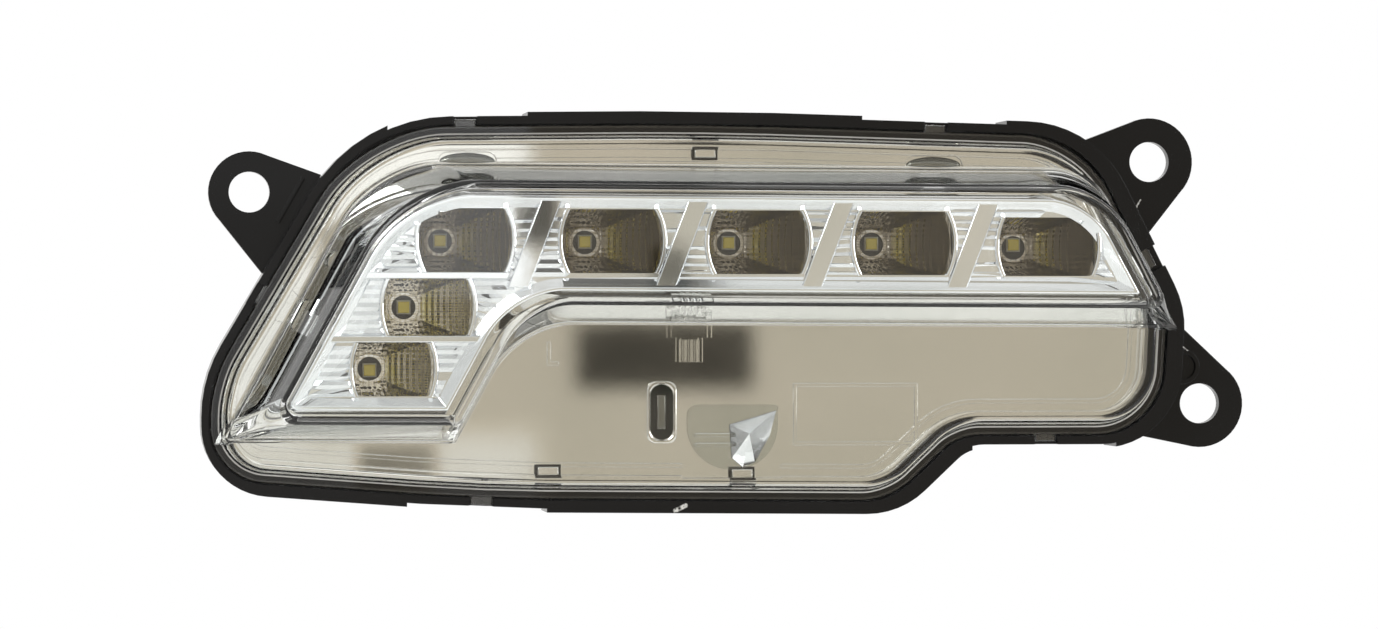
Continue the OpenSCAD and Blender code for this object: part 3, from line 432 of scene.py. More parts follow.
def metal(name, dark, light, rough, grain, depth, edge=0.0):
    """Bare, plated or metallised surface."""
    mat, tree = new_tree(name)
    shader = add_node(tree, "ShaderNodeBsdfPrincipled", {
        "Base Color": two_tones(tree, 30.0, dark, light), "Metallic": 1.0,
        "Roughness": spread(tree, noise(tree, 22.0), rough * 0.7, rough * 1.3),
        "Normal": texture(tree, grain, depth, edge)})
    add_node(tree, "ShaderNodeOutputMaterial", {"Surface": shader.outputs[0]})
    return mat


def clear_plastic(name, dark, light, rough):
    """Clear acrylic: refracts what is seen, and lets light through to what lies behind it."""
    mat, tree = new_tree(name)
    glass = add_node(tree, "ShaderNodeBsdfPrincipled", {
        "Base Color": two_tones(tree, 60.0, dark, light), "Roughness": rough, "IOR": 1.49,
        "Transmission Weight": 1.0, "Normal": texture(tree, 70.0, 0.003)})
    through = add_node(tree, "ShaderNodeBsdfTransparent", {"Color": linear(light)})
    shadow = add_node(tree, "ShaderNodeLightPath").outputs["Is Shadow Ray"]
    both = add_node(tree, "ShaderNodeMixShader", {0: shadow, 1: glass.outputs[0], 2: through.outputs[0]})
    add_node(tree, "ShaderNodeOutputMaterial", {"Surface": both.outputs[0]})
    return mat


def pillowed(name, dark, light, rough, pitch, depth):
    """Metallised plastic with rows of small pillows, and a painted reflection of the phosphor in yellow in its right
    third.
    """
    mat, tree = new_tree(name)
    where = add_node(tree, "ShaderNodeTexCoord").outputs["Object"]
    split = add_node(tree, "ShaderNodeSeparateXYZ", {"Vector": where})
    waves = []
    for axis in ("X", "Z"):
        phase = add_node(tree, "ShaderNodeMath", {
            0: split.outputs[axis], 1: 2 * math.pi / (pitch * MM)}, operation="MULTIPLY")
        waves.append(add_node(tree, "ShaderNodeMath", {0: phase.outputs[0]}, operation="COSINE").outputs[0])
    height = add_node(tree, "ShaderNodeMath", {0: waves[0], 1: waves[1]}, operation="ADD").outputs[0]
    relief = add_node(tree, "ShaderNodeBump", {
        "Height": height, "Strength": 1.0, "Distance": depth * MM}).outputs["Normal"]
    across = add_node(tree, "ShaderNodeAttribute", attribute_name="across").outputs["Fac"]
    # painted reflection: a band of yellow blotches across the cup's right third stands in for the phosphor mirrored in
    # the coat
    painted_reflection_band = window_between(tree, across, 0.42, 0.62, 0.05)
    painted_reflection_blotches = spread(tree, noise(tree, 3.0), 0.1, 0.9)
    share = add_node(tree, "ShaderNodeMath", {0: painted_reflection_band, 1: painted_reflection_blotches}, operation="MULTIPLY").outputs[0]
    colour = add_node(tree, "ShaderNodeMix", {
        0: share, 6: two_tones(tree, 12.0, dark, light), 7: linear("#c9bf5a")}, data_type="RGBA").outputs[2]
    shader = add_node(tree, "ShaderNodeBsdfPrincipled", {
        "Base Color": colour, "Metallic": 1.0, "Roughness": rough, "Normal": relief})
    add_node(tree, "ShaderNodeOutputMaterial", {"Surface": shader.outputs[0]})
    return mat


class LampSettings(bpy.types.PropertyGroup):
    """Sizes and colours that can be changed before the pieces are built."""
    lens_thickness: FloatProperty(
        name="Lens thickness", description="Wall of the clear lens", default=0.0024, min=0.0015, max=0.0035,
        unit="LENGTH", subtype="DISTANCE")
    rib_pitch: FloatProperty(
        name="Rib pitch", description="Distance between the ribs of the bezel", default=0.0022, min=0.0015,
        max=0.004, unit="LENGTH", subtype="DISTANCE")
    rib_height: FloatProperty(
        name="Rib height", description="Height of the bezel's ribs", default=0.0007, min=0.0002, max=0.0015,
        unit="LENGTH", subtype="DISTANCE")
    emitter_colour: FloatVectorProperty(
        name="Emitter", description="Colour of the phosphor on the LED packages", size=3, min=0.0, max=1.0,
        default=linear("#e8d558")[:3], subtype="COLOR")
    camera_distance: FloatProperty(
        name="Camera distance", description="From the camera to the lamp", default=1.3, min=0.4, max=4.0,
        unit="LENGTH", subtype="DISTANCE")
    camera_turn: FloatProperty(
        name="Camera turn", description="How far the camera stands to the left of straight ahead",
        default=math.radians(7.0), unit="ROTATION", subtype="ANGLE")


def lens_body(t):
    """The lens as one closed mesh: pane, raised window and tongue, hollowed to a wall of t, with lug and hooks."""
    edge, fillet, hollow_edge, lap = 1.4, 0.8, 0.5, 0.05
    pane = block([(rim_at(d), h) for d, h in (
        (3.5, LEDGE), (3.5, FLANGE - 0.3), (3.6, FLANGE - 0.1), (3.8, FLANGE), (6.0, FLANGE))]
        + [(rim_at(6.9 + edge * (1 - math.cos(a)), 0.5), PANE - edge * (1 - math.sin(a))) for a in ARC])
    flare = [(-fillet, PANE - t + 0.4)]
    flare += [(-fillet * (1 - math.sin(a)), PANE + fillet * (1 - math.cos(a))) for a in ARC]
    flare += [(edge * (1 - math.cos(a)), FACE - edge * (1 - math.sin(a))) for a in ARC]
    raised = block([(window_at(d, h), h) for d, h in flare])
    tongue = block([(rim_at(d), h) for d, h in (
        (4.1, LEDGE + 0.5), (4.1, BEAD), (5.5, BEAD), (5.5, LEDGE + 0.5))], closed=True)
    void = block([(rim_at(6.9 + t, 0.5), h) for h in (LEDGE - 1.0, PANE - t)])
    hollow = [(t, PANE - t - lap)]
    hollow += [(t + hollow_edge * (1 - math.cos(a)), FACE - t - hollow_edge * (1 - math.sin(a))) for a in ARC[::3]]
    hollow = block([(window_at(d, h), h) for d, h in hollow])
    return combine(pane, ("UNION", raised), ("UNION", tongue), ("DIFFERENCE", void), ("DIFFERENCE", hollow),
                   ("UNION", grooved_lug(t)), ("UNION", lens_hooks()))


def grooved_lug(t):
    """Small grooved lug on the inside of the pane, wider above."""
    bm = bmesh.new()
    x, z = MIDDLE - 2.1, WINDOW_Z - ROW_H - 10.5
    outline = [(-5.2, 1.5), (-2.8, 1.5), (-2.8, -4.8)]
    for g in (-1.6, 0.0, 1.6):
        outline += [(g - 0.35, -4.8), (g - 0.35, 1.0), (g + 0.35, 1.0), (g + 0.35, -4.8)]
    outline += [(2.8, -4.8), (2.8, 1.5), (5.2, 1.5), (5.2, 4.9), (-5.2, 4.9)]
    prism(bm, [(x + a, z + b) for a, b in outline], PANE - t - 3.4, PANE - t + 0.4)
    # a plain lug on the left flank
    slab(bm, RIM_LEFT + 23.3, RIM_TOP - 47.2, (2.6, 4.6), PANE - t - 2.4, PANE - t + 0.4, turn=0.5)
    return helper(bm)


def lens_hooks():
    """Hooks of the lens over the rim, each on an edge of the rim's outline at a given place along x."""
    bm = bmesh.new()
    corners = rim_corners()
    for start, x in ((7, RIM_LEFT + 67.5), (6, RIM_RIGHT - 66.0), (3, RIM_RIGHT - 37.0), (0, RIM_LEFT + 71.5),
                     (8, 0.9), (5, RIM_RIGHT - 7.1)):
        a, b = Vector(corners[start][:2]), Vector(corners[(start + 1) % len(corners)][:2])
        along = (b - a).normalized()
        inward = Vector((-along.y, along.x))
        p = a + (b - a) * (x - a.x) / (b.x - a.x) + inward * 3.1
        slab(bm, p.x, p.y, (5.5, 2.6), FLANGE - 1.6, FLANGE + 0.02, turn=-math.atan2(along.y, along.x), edge=0.3)
    return helper(bm)


class LAMP_OT_outer_lens(bpy.types.Operator):
    """Builds the clear lens with its raised window"""
    bl_idname = "lamp.outer_lens"
    bl_label = "Outer lens"

    def execute(self, context):
        bm = lens_body(context.scene.lamp_settings.lens_thickness / MM)
        # the mould's parting line stands up from the flange beside the pane
        known = set(bm.faces)
        line = [ring(bm, rim_at(d), FLANGE + h) for d, h in ((5.4, 0.02), (5.4, 0.25), (5.75, 0.25), (5.75, 0.02))]
        loft(bm, [*line, line[0]])
        for f in bm.faces:
            f.material_index = 0 if f in known else 1
        # clear moulded acrylic, polished, with a very slight unevenness from the mould
        acrylic = clear_plastic("Clear acrylic", "#f2f5f4", "#ffffff", 0.01)
        # painted highlight: the parting line is trimmed rough, and its pale grey colour stands in for the light it
        # catches
        painted_highlight_line = plastic("Parting line with painted highlight", "#8a8986", "#a3a29e", 0.35, 2.0, 0.01)
        finish("lens", bm, [acrylic, painted_highlight_line], "outer_lens")
        return {"FINISHED"}


def rib_plate(bm, plate, pitch, height):
    """Cuts the flat plate along its ribs and raises their crests, a little away from its borders."""
    margin = 0.7 * MM
    zs = [v.co.z for f in plate for v in f.verts]
    low, high = min(zs), max(zs)
    geom = list({*plate, *(e for f in plate for e in f.edges), *(v for f in plate for v in f.verts)})
    count = int((high - low) / (pitch / 2))
    for k in range(1, count + 1):
        cut = bmesh.ops.bisect_plane(
            bm, geom=geom, dist=1e-7, plane_co=(0, 0, low + k * pitch / 2), plane_no=(0, 0, 1))
        geom = cut["geom"]
    plate = {g for g in geom if isinstance(g, bmesh.types.BMFace)}
    verts = {v for f in plate for v in f.verts}
    inside = {v for v in verts if all(f in plate for f in v.link_faces)}
    border = KDTree(len(verts) - len(inside))
    for i, v in enumerate(verts - inside):
        border.insert(v.co, i)
    border.balance()
    for v in inside:
        k = (v.co.z - low) / (pitch / 2)
        if abs(k - round(k)) < 1e-3 and round(k) % 2 and border.find(v.co)[2] > margin:
            v.co.y -= height


def cell_edge(bm, cell, side, upper):
    """Bright rounded edge beside a cell, spun along its bulging side, up to a share of the side's upper half."""
    x, low, high, width = cell
    w, top = 1.2, MARK_H
    centre = x + PLATE * LEAN + side * (width / 2 - CELL_R)
    middle = (low + high) / 2
    reach = math.asin((high - low) / 2 / (CELL_R + w / 2))
    profile = ((0.02, -0.2), (0.02, top - 0.35), (0.14, top - 0.1), (0.35, top), (w - 0.35, top),
               (w - 0.14, top - 0.1), (w, top - 0.35), (w, -0.2))
    first = reach * (1.0 if side > 0 else upper)
    start = [bm.verts.new(place(
        centre + side * (CELL_R + d) * math.cos(first), middle - side * (CELL_R + d) * math.sin(first), PLATE + h))
        for d, h in profile]
    wire = [bm.edges.new((start[i - 1], v)) for i, v in enumerate(start)]
    made = bmesh.ops.spin(
        bm, geom=start + wire, cent=place(centre, middle, PLATE), axis=(0, -1, 0), angle=reach * (1 + upper), steps=18,
        use_merge=False, use_duplicate=False)
    for end in (wire, [g for g in made["geom_last"] if isinstance(g, bmesh.types.BMEdge)]):
        bmesh.ops.contextual_create(bm, geom=end)


def straps_and_bars(bm):
    """Slanted straps between the cells of the row, and straight bars between the cells of the column."""
    strap_w, bar_w, slant, buried = 5.4, 1.76, math.tan(math.radians(21.0)), 2.3
    field = bezel_at(FIELD_IN, PLATE)
    height = field[5][1] - field[2][1]
    for (x0, z0), (x1, z1) in zip(LEDS[:4], LEDS[1:5]):
        slab(bm, (x0 + x1) / 2 + PLATE * LEAN - 1.0, (z0 + z1) / 2 - 0.7, (strap_w, height + 2 * buried),
             PLATE - 0.2, PLATE + MARK_H, slant=slant, edge=0.35)
    for k, right_end in ((5, LEDS[5][0] + PLATE * LEAN + 20.6), (6, None)):
        z = LEDS[k][1] + 7.2 + 0.9
        left = field[0][0] + (z - field[0][1]) * COT - buried
        right = right_end or field[1][0] + (z - field[1][1]) * COT + buried
        slab(bm, (left + right) / 2, z, (right - left, bar_w), PLATE - 0.2, PLATE + MARK_H, slant=COT, edge=0.3)


class LAMP_OT_bezel(bpy.types.Operator):
    """Builds the bright bezel: skirt, rounded lip, slope, ribbed plate, straps, bars and cell edges"""
    bl_idname = "lamp.bezel"
    bl_label = "Bezel"

    def execute(self, context):
        s = context.scene.lamp_settings
        bm = bmesh.new()
        outside = [ring(bm, bezel_at(d, h), h) for d, h in (
            (0.0, PANEL), (0.0, LIP - 0.3), (0.04, LIP - 0.15), (0.15, LIP - 0.04), (0.3, LIP), (0.6, LIP),
            (0.85, LIP - 0.05), (1.1, LIP - 0.18), (FIELD_IN, PLATE))]
        inside = [ring(bm, bezel_at(BEZEL_T, h), h) for h in (PANEL, CUP)]
        mouths = [barrel(bm, c, PLATE) for c in cells()]
        backs = [barrel(bm, c, CUP) for c in cells()]
        loft(bm, outside)
        loft(bm, [outside[0], *inside])
        for mouth, back in zip(mouths, backs):
            loft(bm, [mouth, back])
        fill(bm, inside[1] + sum(backs, []))
        plate = fill(bm, outside[-1] + sum(mouths, []))
        rib_plate(bm, plate, s.rib_pitch, s.rib_height)
        straps_and_bars(bm)
        for k, cell in enumerate(cells()):
            for side in (-1, 1):
                # the field's rounded corners cut the edges of the row's two end cells
                cell_edge(bm, cell, side, 0.45 if (k, side) in ((0, -1), (4, 1)) else 1.0)
        # plastic with a bright vacuum-metallised coat: a mirror that is a little soft
        bright = metal("Vacuum-metallised bezel", "#dcdee0", "#eceef0", 0.03, 8.0, 0.003)
        finish("bright_bezel", bm, [bright], "bezel", sharp=28.0)
        return {"FINISHED"}


def cup(bm, cell, wall):
    """A bowl from the round foot at the circuit board to the barrel opening behind the bezel."""
    x, low, high, width = cell
    foot = BOARD + 0.3
    walls = []
    across = bm.verts.layers.float.new("across")
    for grow in (0.0, wall):
        rings = []
        for step in range(14):
            s = step / 13
            # the first ring stands up as a lip round the hole
            h = foot + (CUP - foot) * s * s + (0.5 if step == 0 else 0.0)
            wire = barrel(bm, cell, h, grow)
            centre = place(x + h * LEAN, (low + high) / 2, h)
            for v in {v for e in wire for v in e.verts}:
                out = v.co - centre
                least = (3.1 + grow) * MM
                v.co = centre + out.normalized() * (least + (out.length - least) * s)
                v[across] = (v.co.x - centre.x) / (width / 2 * MM)
            rings.append(wire)
        walls.append(rings)
    inner, outer = walls
    loft(bm, [*inner, *reversed(outer), inner[0]])


class LAMP_OT_reflectors(bpy.types.Operator):
    """Builds the seven reflector cups behind the bezel's windows"""
    bl_idname = "lamp.reflectors"
    bl_label = "Reflectors"

    def execute(self, context):
        # metallised plastic with rows of small pillows that spread the light; the row's cups take a darker copy of the
        # coat and the column's cups a paler one, as painted shade and painted light, and both carry the painted
        # reflection of the phosphor
        painted_darker_cup = pillowed("Metallised cup painted darker, with painted reflection", "#a8a196", "#b6b0a5", 0.06, 1.35, 0.05)
        painted_paler_cup = pillowed("Metallised cup painted paler, with painted reflection", "#e0dcd4", "#ece8e0", 0.06, 1.35, 0.05)
        for k, cell in enumerate(cells(), start=1):
            bm = bmesh.new()
            cup(bm, cell, 0.8)
            finish(f"cup_{k}", bm, [painted_darker_cup if k < 6 else painted_paler_cup], f"reflector_{k}")
        return {"FINISHED"}


class LAMP_OT_led_packages(bpy.types.Operator):
    """Builds the seven LED packages, each a pale body with a yellow phosphor square"""
    bl_idname = "lamp.led_packages"
    bl_label = "LED packages"

    def execute(self, context):
        # pale ceramic package, and silicone filled with yellow phosphor
        body = plastic("LED ceramic", "#b9b6a4", "#cfccbb", 0.4, 0.6, 0.002)
        phosphor = plastic("Phosphor silicone", "#cdb53e", "#e2cf63", 0.3, 0.4, 0.01)
        shader = next(n for n in phosphor.node_tree.nodes if n.type == "MIX")
        shader.inputs[6].default_value = (*context.scene.lamp_settings.emitter_colour, 1.0)
        for k, (x, z) in enumerate(LEDS, start=1):
            bm = bmesh.new()
            slab(bm, x, z, (3.6, 3.6), BOARD, BOARD + 0.65, edge=0.12)
            for f in bm.faces:
                f.material_index = 0
            known = set(bm.faces)
            slab(bm, x, z, (2.9, 2.9), BOARD + 0.6, BOARD + 1.2, edge=0.25)
            for f in bm.faces:
                if f not in known:
                    f.material_index = 1
            finish(f"led_package_{k}", bm, [body, phosphor], f"led_{k}")
        return {"FINISHED"}


class LAMP_OT_prism(bpy.types.Operator):
    """Builds the clear block: a round base, two bars and a bright faceted point"""
    bl_idname = "lamp.prism"
    bl_label = "Prism block"

    def execute(self, context):
        foot = PANEL + 0.05
        outline = [(-11.6, -7.9, 11.4), (12.0, -7.9, 11.4), (12.0, 9.0, 1.0), (-11.6, 9.0, 3.0)]
        base = block([([(PRISM_X + x, PRISM_Z + z, r) for x, z, r in outline], h) for h in (foot, foot + 0.9)])
        bars = bmesh.new()
        for z in (-1.4, 1.1):
            slab(bars, PRISM_X - 4.9, PRISM_Z + z, (9.6, 1.0), foot + 0.4, foot + 2.4, edge=0.2)
        bm = combine(base, ("UNION", helper(bars)))
        known = set(bm.faces)
        peak = bm.verts.new(place(PRISM_X + 4.0, PRISM_Z + 1.5, PANEL + 5.2))
        corners = [bm.verts.new(place(PRISM_X + x, PRISM_Z + z, foot + 0.95)) for x, z in (
            (-0.6, 3.8), (0.0, -4.9), (2.9, -7.3), (6.0, -6.0), (9.8, 0.7), (11.6, 7.4))]
        bmesh.ops.convex_hull(bm, input=[peak, *corners])
        for f in bm.faces:
            f.material_index = 0 if f in known else 1
        clear = clear_plastic("Prism acrylic", "#e9eceb", "#f8f9f8", 0.02)
        # the point's facets carry the same vacuum-metallised coat as the bezel
        bright = metal("Metallised facets", "#e6e8ea", "#f2f4f6", 0.08, 3.0, 0.004)
        finish("prism", bm, [clear, bright], "prism_block", sharp=20.0)
        return {"FINISHED"}


class LAMP_OT_panel_details(bpy.types.Operator):
    """Builds the base panel's clip heads, the rim and pin of its oval slot and the domes in its recesses"""
    bl_idname = "lamp.panel_details"
    bl_label = "Panel details"

    def execute(self, context):
        half_w, half_l = OVAL_W / 2, OVAL_L / 2
        oval = [(OVAL_X + sx * half_w, OVAL_Z + sz * half_l, half_w) for sx, sz in (
            (-1, -1), (1, -1), (1, 1), (-1, 1))]
        bm = bmesh.new()
        rim = [ring(bm, inset(oval, d), h) for d, h in (
            (-0.9, PANEL + 0.02), (-0.8, PANEL + 0.4), (-0.6, PANEL + 0.5), (-0.3, PANEL + 0.5), (-0.1, PANEL + 0.3),
            (-0.1, PANEL + 0.02))]
        loft(bm, [*rim, rim[0]])
        for x, z in CLIPS:
            slab(bm, x, z, (5.4, 2.3), PANEL + 1.45, PANEL + 1.9, edge=0.3)
        for f in bm.faces:
            f.material_index = 0
        known = set(bm.faces)
        slab(bm, OVAL_X, OVAL_Z, (2.6, 9.0), PANEL - 1.6, PANEL - 0.6, edge=0.6)
        for x, z in RECESSES:
            dome = Matrix.Translation(place(x, z, PANEL - 0.85)) @ Matrix.Diagonal((7.2 * MM, 1.3 * MM, 2.2 * MM, 1.0))
            bmesh.ops.create_uvsphere(bm, u_segments=32, v_segments=16, radius=1.0, matrix=dome)
        for f in bm.faces:
            f.material_index = 0 if f in known else 1
        silver = metal("Metallised clip heads", "#cfccc5", "#dbd8d2", 0.08, 3.0, 0.01)
        # the domes are smoked plastic under the same coat
        smoked = metal("Smoked domes", "#6a6a64", "#7a7a73", 0.15, 2.0, 0.02)
        finish("panel_details", bm, [silver, smoked], None)
        return {"FINISHED"}


class LAMP_OT_frame_materials(bpy.types.Operator):
    """Gives the CAD nodes their materials"""
    bl_idname = "lamp.frame_materials"
    bl_label = "Frame materials"

    def execute(self, context):
        # black glass-filled nylon of the housing: glossy on the mould's polished faces, edges a little round
        # a chip on the lower rim and scratches on the right ears
        scuffs = (
            (109.2, -82.1, 111.9, -80.8, 1.1), (233.6, -1.4, 232.6, -3.0, 0.4), (232.6, -3.0, 232.4, -4.7, 0.4),
            (242.9, -40.0, 244.6, -39.7, 0.4), (244.6, -39.7, 246.0, -40.9, 0.4), (242.3, -49.7, 243.9, -48.4, 0.45))
        black = plastic(
            "Black moulded nylon", "#0a0a0b", "#0f0f10", 0.16, 1.6, 0.003, edge=0.35, specular=0.22, scuffs=scuffs)
        # the cover and the vent cap come from a textured mould
        cover = plastic("Textured black cover", "#131314", "#1a1a1a", 0.5, 0.6, 0.03, edge=0.3)
        # sealant keeps the soft skin that it cured with
        seal = plastic("Cured sealant", "#121212", "#181818", 0.55, 3.0, 0.1)
        gasket = plastic("Foam rubber", "#101010", "#1a1a1a", 0.8, 0.5, 0.1)
        # vacuum-metallised plastic, a little darker than the bezel
        silver = metal("Metallised panel", "#d3d1cb", "#dad8d3", 0.025, 14.0, 0.002, edge=0.25)
        board = plastic("Black solder mask", "#0c0d0c", "#151715", 0.35, 2.0, 0.01)
        green = plastic("Green solder mask", "#0f3a24", "#15472d", 0.35, 2.0, 0.01, edge=0.15)
        pad = plastic("Thermal pad", "#66707f", "#727c8b", 0.7, 1.0, 0.03)
        film = plastic("Amber film", "#a06a22", "#b4792b", 0.3, 4.0, 0.01)
        steel = metal("Zinc-plated steel", "#9d9c97", "#b3b2ab", 0.3, 1.0, 0.01, edge=0.2)
        alloy = metal("Die-cast aluminium", "#a2a4a8", "#b4b6ba", 0.45, 0.8, 0.04, edge=0.3)
        brass = metal("Tinned brass", "#c9b27a", "#d6c492", 0.25, 1.0, 0.005)
        socket = plastic("Dark grey nylon", "#202022", "#29292b", 0.42, 1.0, 0.01, edge=0.25)
        silicone = plastic("Rust silicone", "#7a3a1c", "#8a4523", 0.5, 4.0, 0.02)
        chosen = {
            "housing": black, "lens_seal": seal, "base_panel": silver, "row_board": board, "column_board": board,
            "row_pad": pad, "column_pad": pad, "board_screws": steel, "board_link": film,
            "heat_sink": alloy, "sink_gasket": gasket, "sink_screws": steel, "driver_board": green,
            "rear_cover": cover, "cover_gasket": gasket, "cover_screws": steel, "connector_socket": socket,
            "socket_seal": silicone, "terminal_pins": brass, "vent_cap": cover,
        }
        for name, mat in chosen.items():
            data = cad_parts[name].data
            data.materials.clear()
            data.materials.append(mat)
        return {"FINISHED"}


def window_between(tree, value, low, high, soft):
    """1 where a value lies between low and high, falling off over soft."""
    rise = add_node(tree, "ShaderNodeMapRange", {
        "Value": value, "From Min": low - soft, "From Max": low + soft}, interpolation_type="SMOOTHSTEP")
    fall = add_node(tree, "ShaderNodeMapRange", {
        "Value": value, "From Min": high - soft, "From Max": high + soft, "To Min": 1.0, "To Max": 0.0},
        interpolation_type="SMOOTHSTEP")
    return add_node(tree, "ShaderNodeMath", {0: rise.outputs[0], 1: fall.outputs[0]}, operation="MULTIPLY").outputs[0]


# Cards round the camera, as (level, left, right, low, high, softness): where a flat face of the lamp shows each one
# to the camera, in the lamp's millimetres
CARDS = (
    (1.5, -90.0, 72.0, -27.0, 80.0, 3.0),
    (1.3, -90.0, 14.0, -120.0, 80.0, 5.0),
    (1.05, -90.0, 75.0, -120.0, -62.0, 6.0),
    (0.5, 17.0, 25.0, -22.0, -7.0, 3.0),
    (0.08, 84.0, 131.0, -51.0, -33.0, 4.0),
    (0.3, 28.0, 48.0, -76.0, -65.0, 3.0),
    (0.12, 69.0, 80.0, -14.0, 2.0, 2.0),
    (0.12, 104.0, 114.0, -26.0, -14.0, 2.0),
)


def studio_world(camera):
    """World by direction: a bright tent that is darker below, and cards in front, round the camera."""
    world = bpy.data.worlds.new("studio")
    world.use_nodes = True
    tree = world.node_tree
    tree.nodes.clear()
    where = add_node(tree, "ShaderNodeTexCoord").outputs["Generated"]
    axes = add_node(tree, "ShaderNodeSeparateXYZ", {"Vector": where}).outputs
    level = add_node(tree, "ShaderNodeMapRange", {
        "Value": axes["Z"], "From Min": -0.75, "From Max": 0.3, "To Min": 0.25, "To Max": 1.0},
        interpolation_type="SMOOTHSTEP").outputs[0]

    def towards(level, target, *parts):
        """The level moved to a target where all parts are 1."""
        mask = parts[0]
        for part in parts[1:]:
            mask = add_node(tree, "ShaderNodeMath", {0: mask, 1: part}, operation="MULTIPLY").outputs[0]
        return add_node(tree, "ShaderNodeMix", {0: mask, 2: level, 3: target}, data_type="FLOAT").outputs[0]

    def shown_at(axis, place_of_camera):
        """Where on the lamp a flat face mirrors this direction to the camera, along one axis in millimetres."""
        slope = add_node(tree, "ShaderNodeMath", {0: axes[axis], 1: axes["Y"]}, operation="DIVIDE").outputs[0]
        return add_node(tree, "ShaderNodeMath", {
            0: slope, 1: camera.y / MM, 2: place_of_camera / MM}, operation="MULTIPLY_ADD").outputs[0]

    front = add_node(tree, "ShaderNodeMapRange", {
        "Value": axes["Y"], "From Min": -0.97, "From Max": -0.88, "To Min": 1.0, "To Max": 0.0},
        interpolation_type="SMOOTHSTEP").outputs[0]
    level = towards(level, 0.72, front)
    across, up = shown_at("X", camera.x), shown_at("Z", camera.z)
    for card, left, right, low, high, soft in CARDS:
        level = towards(level, card, front, window_between(tree, across, left, right, soft),
                        window_between(tree, up, low, high, soft))
    # a dark flag high above, which the lower slopes of the bezel show
    level = towards(level, 0.08, window_between(tree, axes["X"], 0.08, 0.132, 0.006),
                    window_between(tree, axes["Z"], 0.75, 0.95, 0.02))
    behind = add_node(tree, "ShaderNodeMapRange", {
        "Value": axes["Y"], "From Min": 0.3, "From Max": 0.6}, interpolation_type="SMOOTHSTEP").outputs[0]
    level = towards(level, 1.0, behind)
    # the front is warm, but its white cards are not
    pale = add_node(tree, "ShaderNodeMapRange", {
        "Value": level, "From Min": 0.8, "From Max": 1.2, "To Min": 1.0, "To Max": 0.0}).outputs[0]
    warm = add_node(tree, "ShaderNodeMath", {0: front, 1: pale}, operation="MULTIPLY").outputs[0]
    tint = add_node(tree, "ShaderNodeMix", {0: warm, 6: linear("#fdfcfa"), 7: linear("#fff4e0")}, data_type="RGBA")
    lit = add_node(tree, "ShaderNodeBackground", {"Color": tint.outputs[2], "Strength": level})
    white = add_node(tree, "ShaderNodeBackground", {"Color": (1, 1, 1, 1), "Strength": 1.0})
    seen = add_node(tree, "ShaderNodeLightPath").outputs["Is Camera Ray"]
    both = add_node(tree, "ShaderNodeMixShader", {0: seen, 1: lit.outputs[0], 2: white.outputs[0]})
    add_node(tree, "ShaderNodeOutputWorld", {"Surface": both.outputs[0]})
    return world


def floor_material(centre, radius):
    """Pale matt floor that turns into the white backdrop towards its edge."""
    mat, tree = new_tree("Pale paper floor")
    where = add_node(tree, "ShaderNodeTexCoord").outputs["Object"]
    away = add_node(tree, "ShaderNodeVectorMath", {0: where, 1: centre}, operation="DISTANCE").outputs["Value"]
    edge = add_node(tree, "ShaderNodeMapRange", {
        "Value": away, "From Min": radius * 0.35, "From Max": radius * 0.95},
        interpolation_type="SMOOTHSTEP").outputs[0]
    paper = add_node(tree, "ShaderNodeBsdfPrincipled", {
        "Base Color": two_tones(tree, 60.0, "#f0f0ee", "#f6f6f4"), "Roughness": 0.9})
    glow = add_node(tree, "ShaderNodeEmission", {"Color": (1, 1, 1, 1), "Strength": 1.0})
    both = add_node(tree, "ShaderNodeMixShader", {0: edge, 1: paper.outputs[0], 2: glow.outputs[0]})
    add_node(tree, "ShaderNodeOutputMaterial", {"Surface": both.outputs[0]})
    return mat


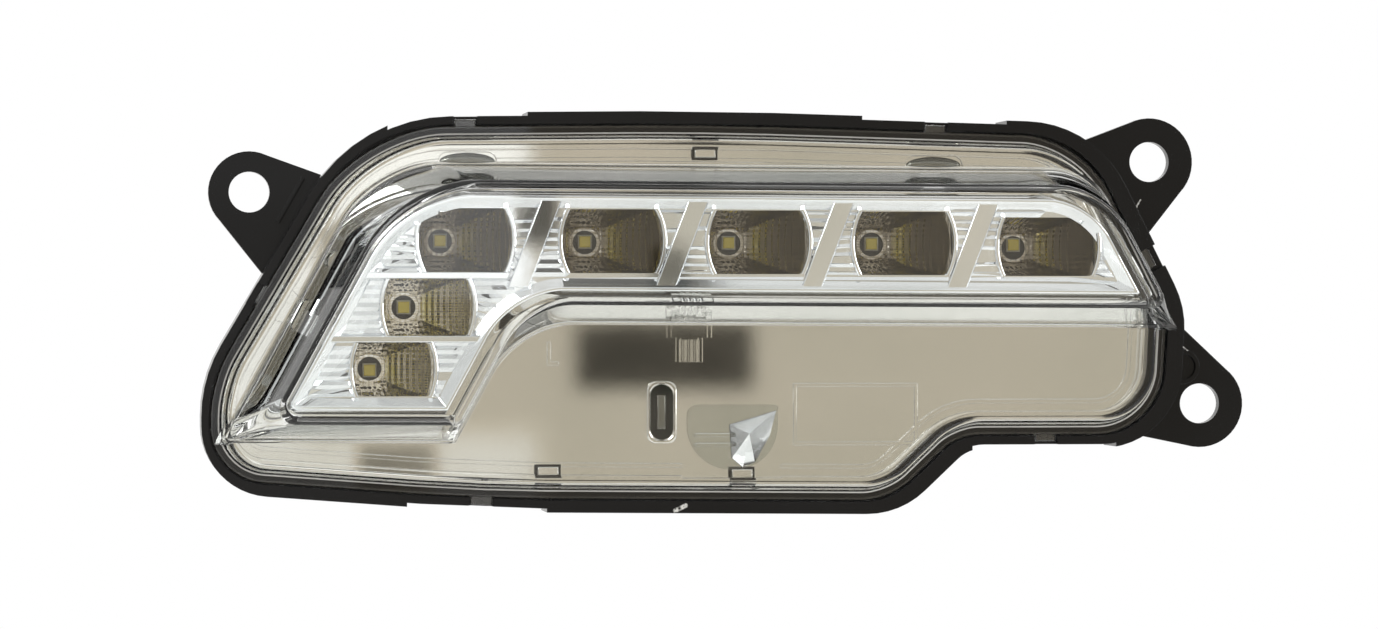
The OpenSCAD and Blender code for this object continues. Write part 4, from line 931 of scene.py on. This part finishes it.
class LAMP_OT_stage(bpy.types.Operator):
    """Places the camera of the photograph, the pale floor and the studio light"""
    bl_idname = "lamp.stage"
    bl_label = "Stage"

    def execute(self, context):
        s = context.scene.lamp_settings
        scene = context.scene
        # the photograph shows 0.26 mm of the lamp's plane in each of its 1378 columns
        photo_width, pixel = 1378, 0.26 * MM
        turn, distance = s.camera_turn, s.camera_distance
        middle = Vector((0.114, 0.0, -0.0315))
        data = bpy.data.cameras.new("camera")
        data.sensor_width = 36.0
        data.lens = data.sensor_width * distance / (photo_width * pixel)
        data.clip_start, data.clip_end = 0.05, 20.0
        camera = bpy.data.objects.new("camera", data)
        scene.collection.objects.link(camera)
        camera.location = middle - distance * Vector((math.sin(turn), math.cos(turn), 0.0))
        camera.rotation_euler = (math.radians(90.0), 0.0, -turn)
        scene.camera = camera
        scene.view_settings.view_transform = "Standard"
        scene.world = studio_world(camera.location)

        radius = 0.6
        centre = Vector((middle.x, 0.0, -0.16))
        bm = bmesh.new()
        bmesh.ops.create_circle(bm, cap_ends=True, segments=96, radius=radius, matrix=Matrix.Translation(centre))
        mesh = bpy.data.meshes.new("floor")
        bm.to_mesh(mesh)
        bm.free()
        mesh.materials.append(floor_material(centre, radius))
        floor = bpy.data.objects.new("floor", mesh)
        scene.collection.objects.link(floor)

        for name, where, size, power in (
                ("key softbox", (-0.9, -0.9, 1.1), 0.9, 16.0),
                ("right softbox", (1.3, -0.5, 0.3), 0.8, 8.0),
                ("rear softbox", (0.4, 1.2, 0.8), 0.9, 8.0)):
            lamp = bpy.data.lights.new(name, "AREA")
            lamp.size = size
            lamp.energy = power
            light = bpy.data.objects.new(name, lamp)
            scene.collection.objects.link(light)
            light.location = where
            light.rotation_euler = (middle - Vector(where)).to_track_quat("-Z", "Y").to_euler()
        return {"FINISHED"}


class LAMP_PT_panel(bpy.types.Panel):
    """Sizes of the lamp and buttons for its pieces"""
    bl_label = "Lamp"
    bl_idname = "LAMP_PT_panel"
    bl_space_type = "VIEW_3D"
    bl_region_type = "UI"
    bl_category = "Lamp"

    def draw(self, context):
        for key in LampSettings.__annotations__:
            self.layout.prop(context.scene.lamp_settings, key)
        for op in OPERATORS:
            self.layout.operator(op.bl_idname)


OPERATORS = (LAMP_OT_frame_materials, LAMP_OT_outer_lens, LAMP_OT_bezel, LAMP_OT_reflectors, LAMP_OT_led_packages,
             LAMP_OT_prism, LAMP_OT_panel_details, LAMP_OT_stage)
CLASSES = (LampSettings, *OPERATORS, LAMP_PT_panel)


def register():
    for c in CLASSES:
        bpy.utils.register_class(c)
    bpy.types.Scene.lamp_settings = PointerProperty(type=LampSettings)


def unregister():
    del bpy.types.Scene.lamp_settings
    for c in reversed(CLASSES):
        bpy.utils.unregister_class(c)


def main():
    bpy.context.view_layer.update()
    register()
    bpy.ops.lamp.frame_materials()
    bpy.ops.lamp.outer_lens()
    bpy.ops.lamp.bezel()
    bpy.ops.lamp.reflectors()
    bpy.ops.lamp.led_packages()
    bpy.ops.lamp.prism()
    bpy.ops.lamp.panel_details()
    bpy.ops.lamp.stage()
    bpy.context.view_layer.update()


if __name__ == "__main__":
    main()
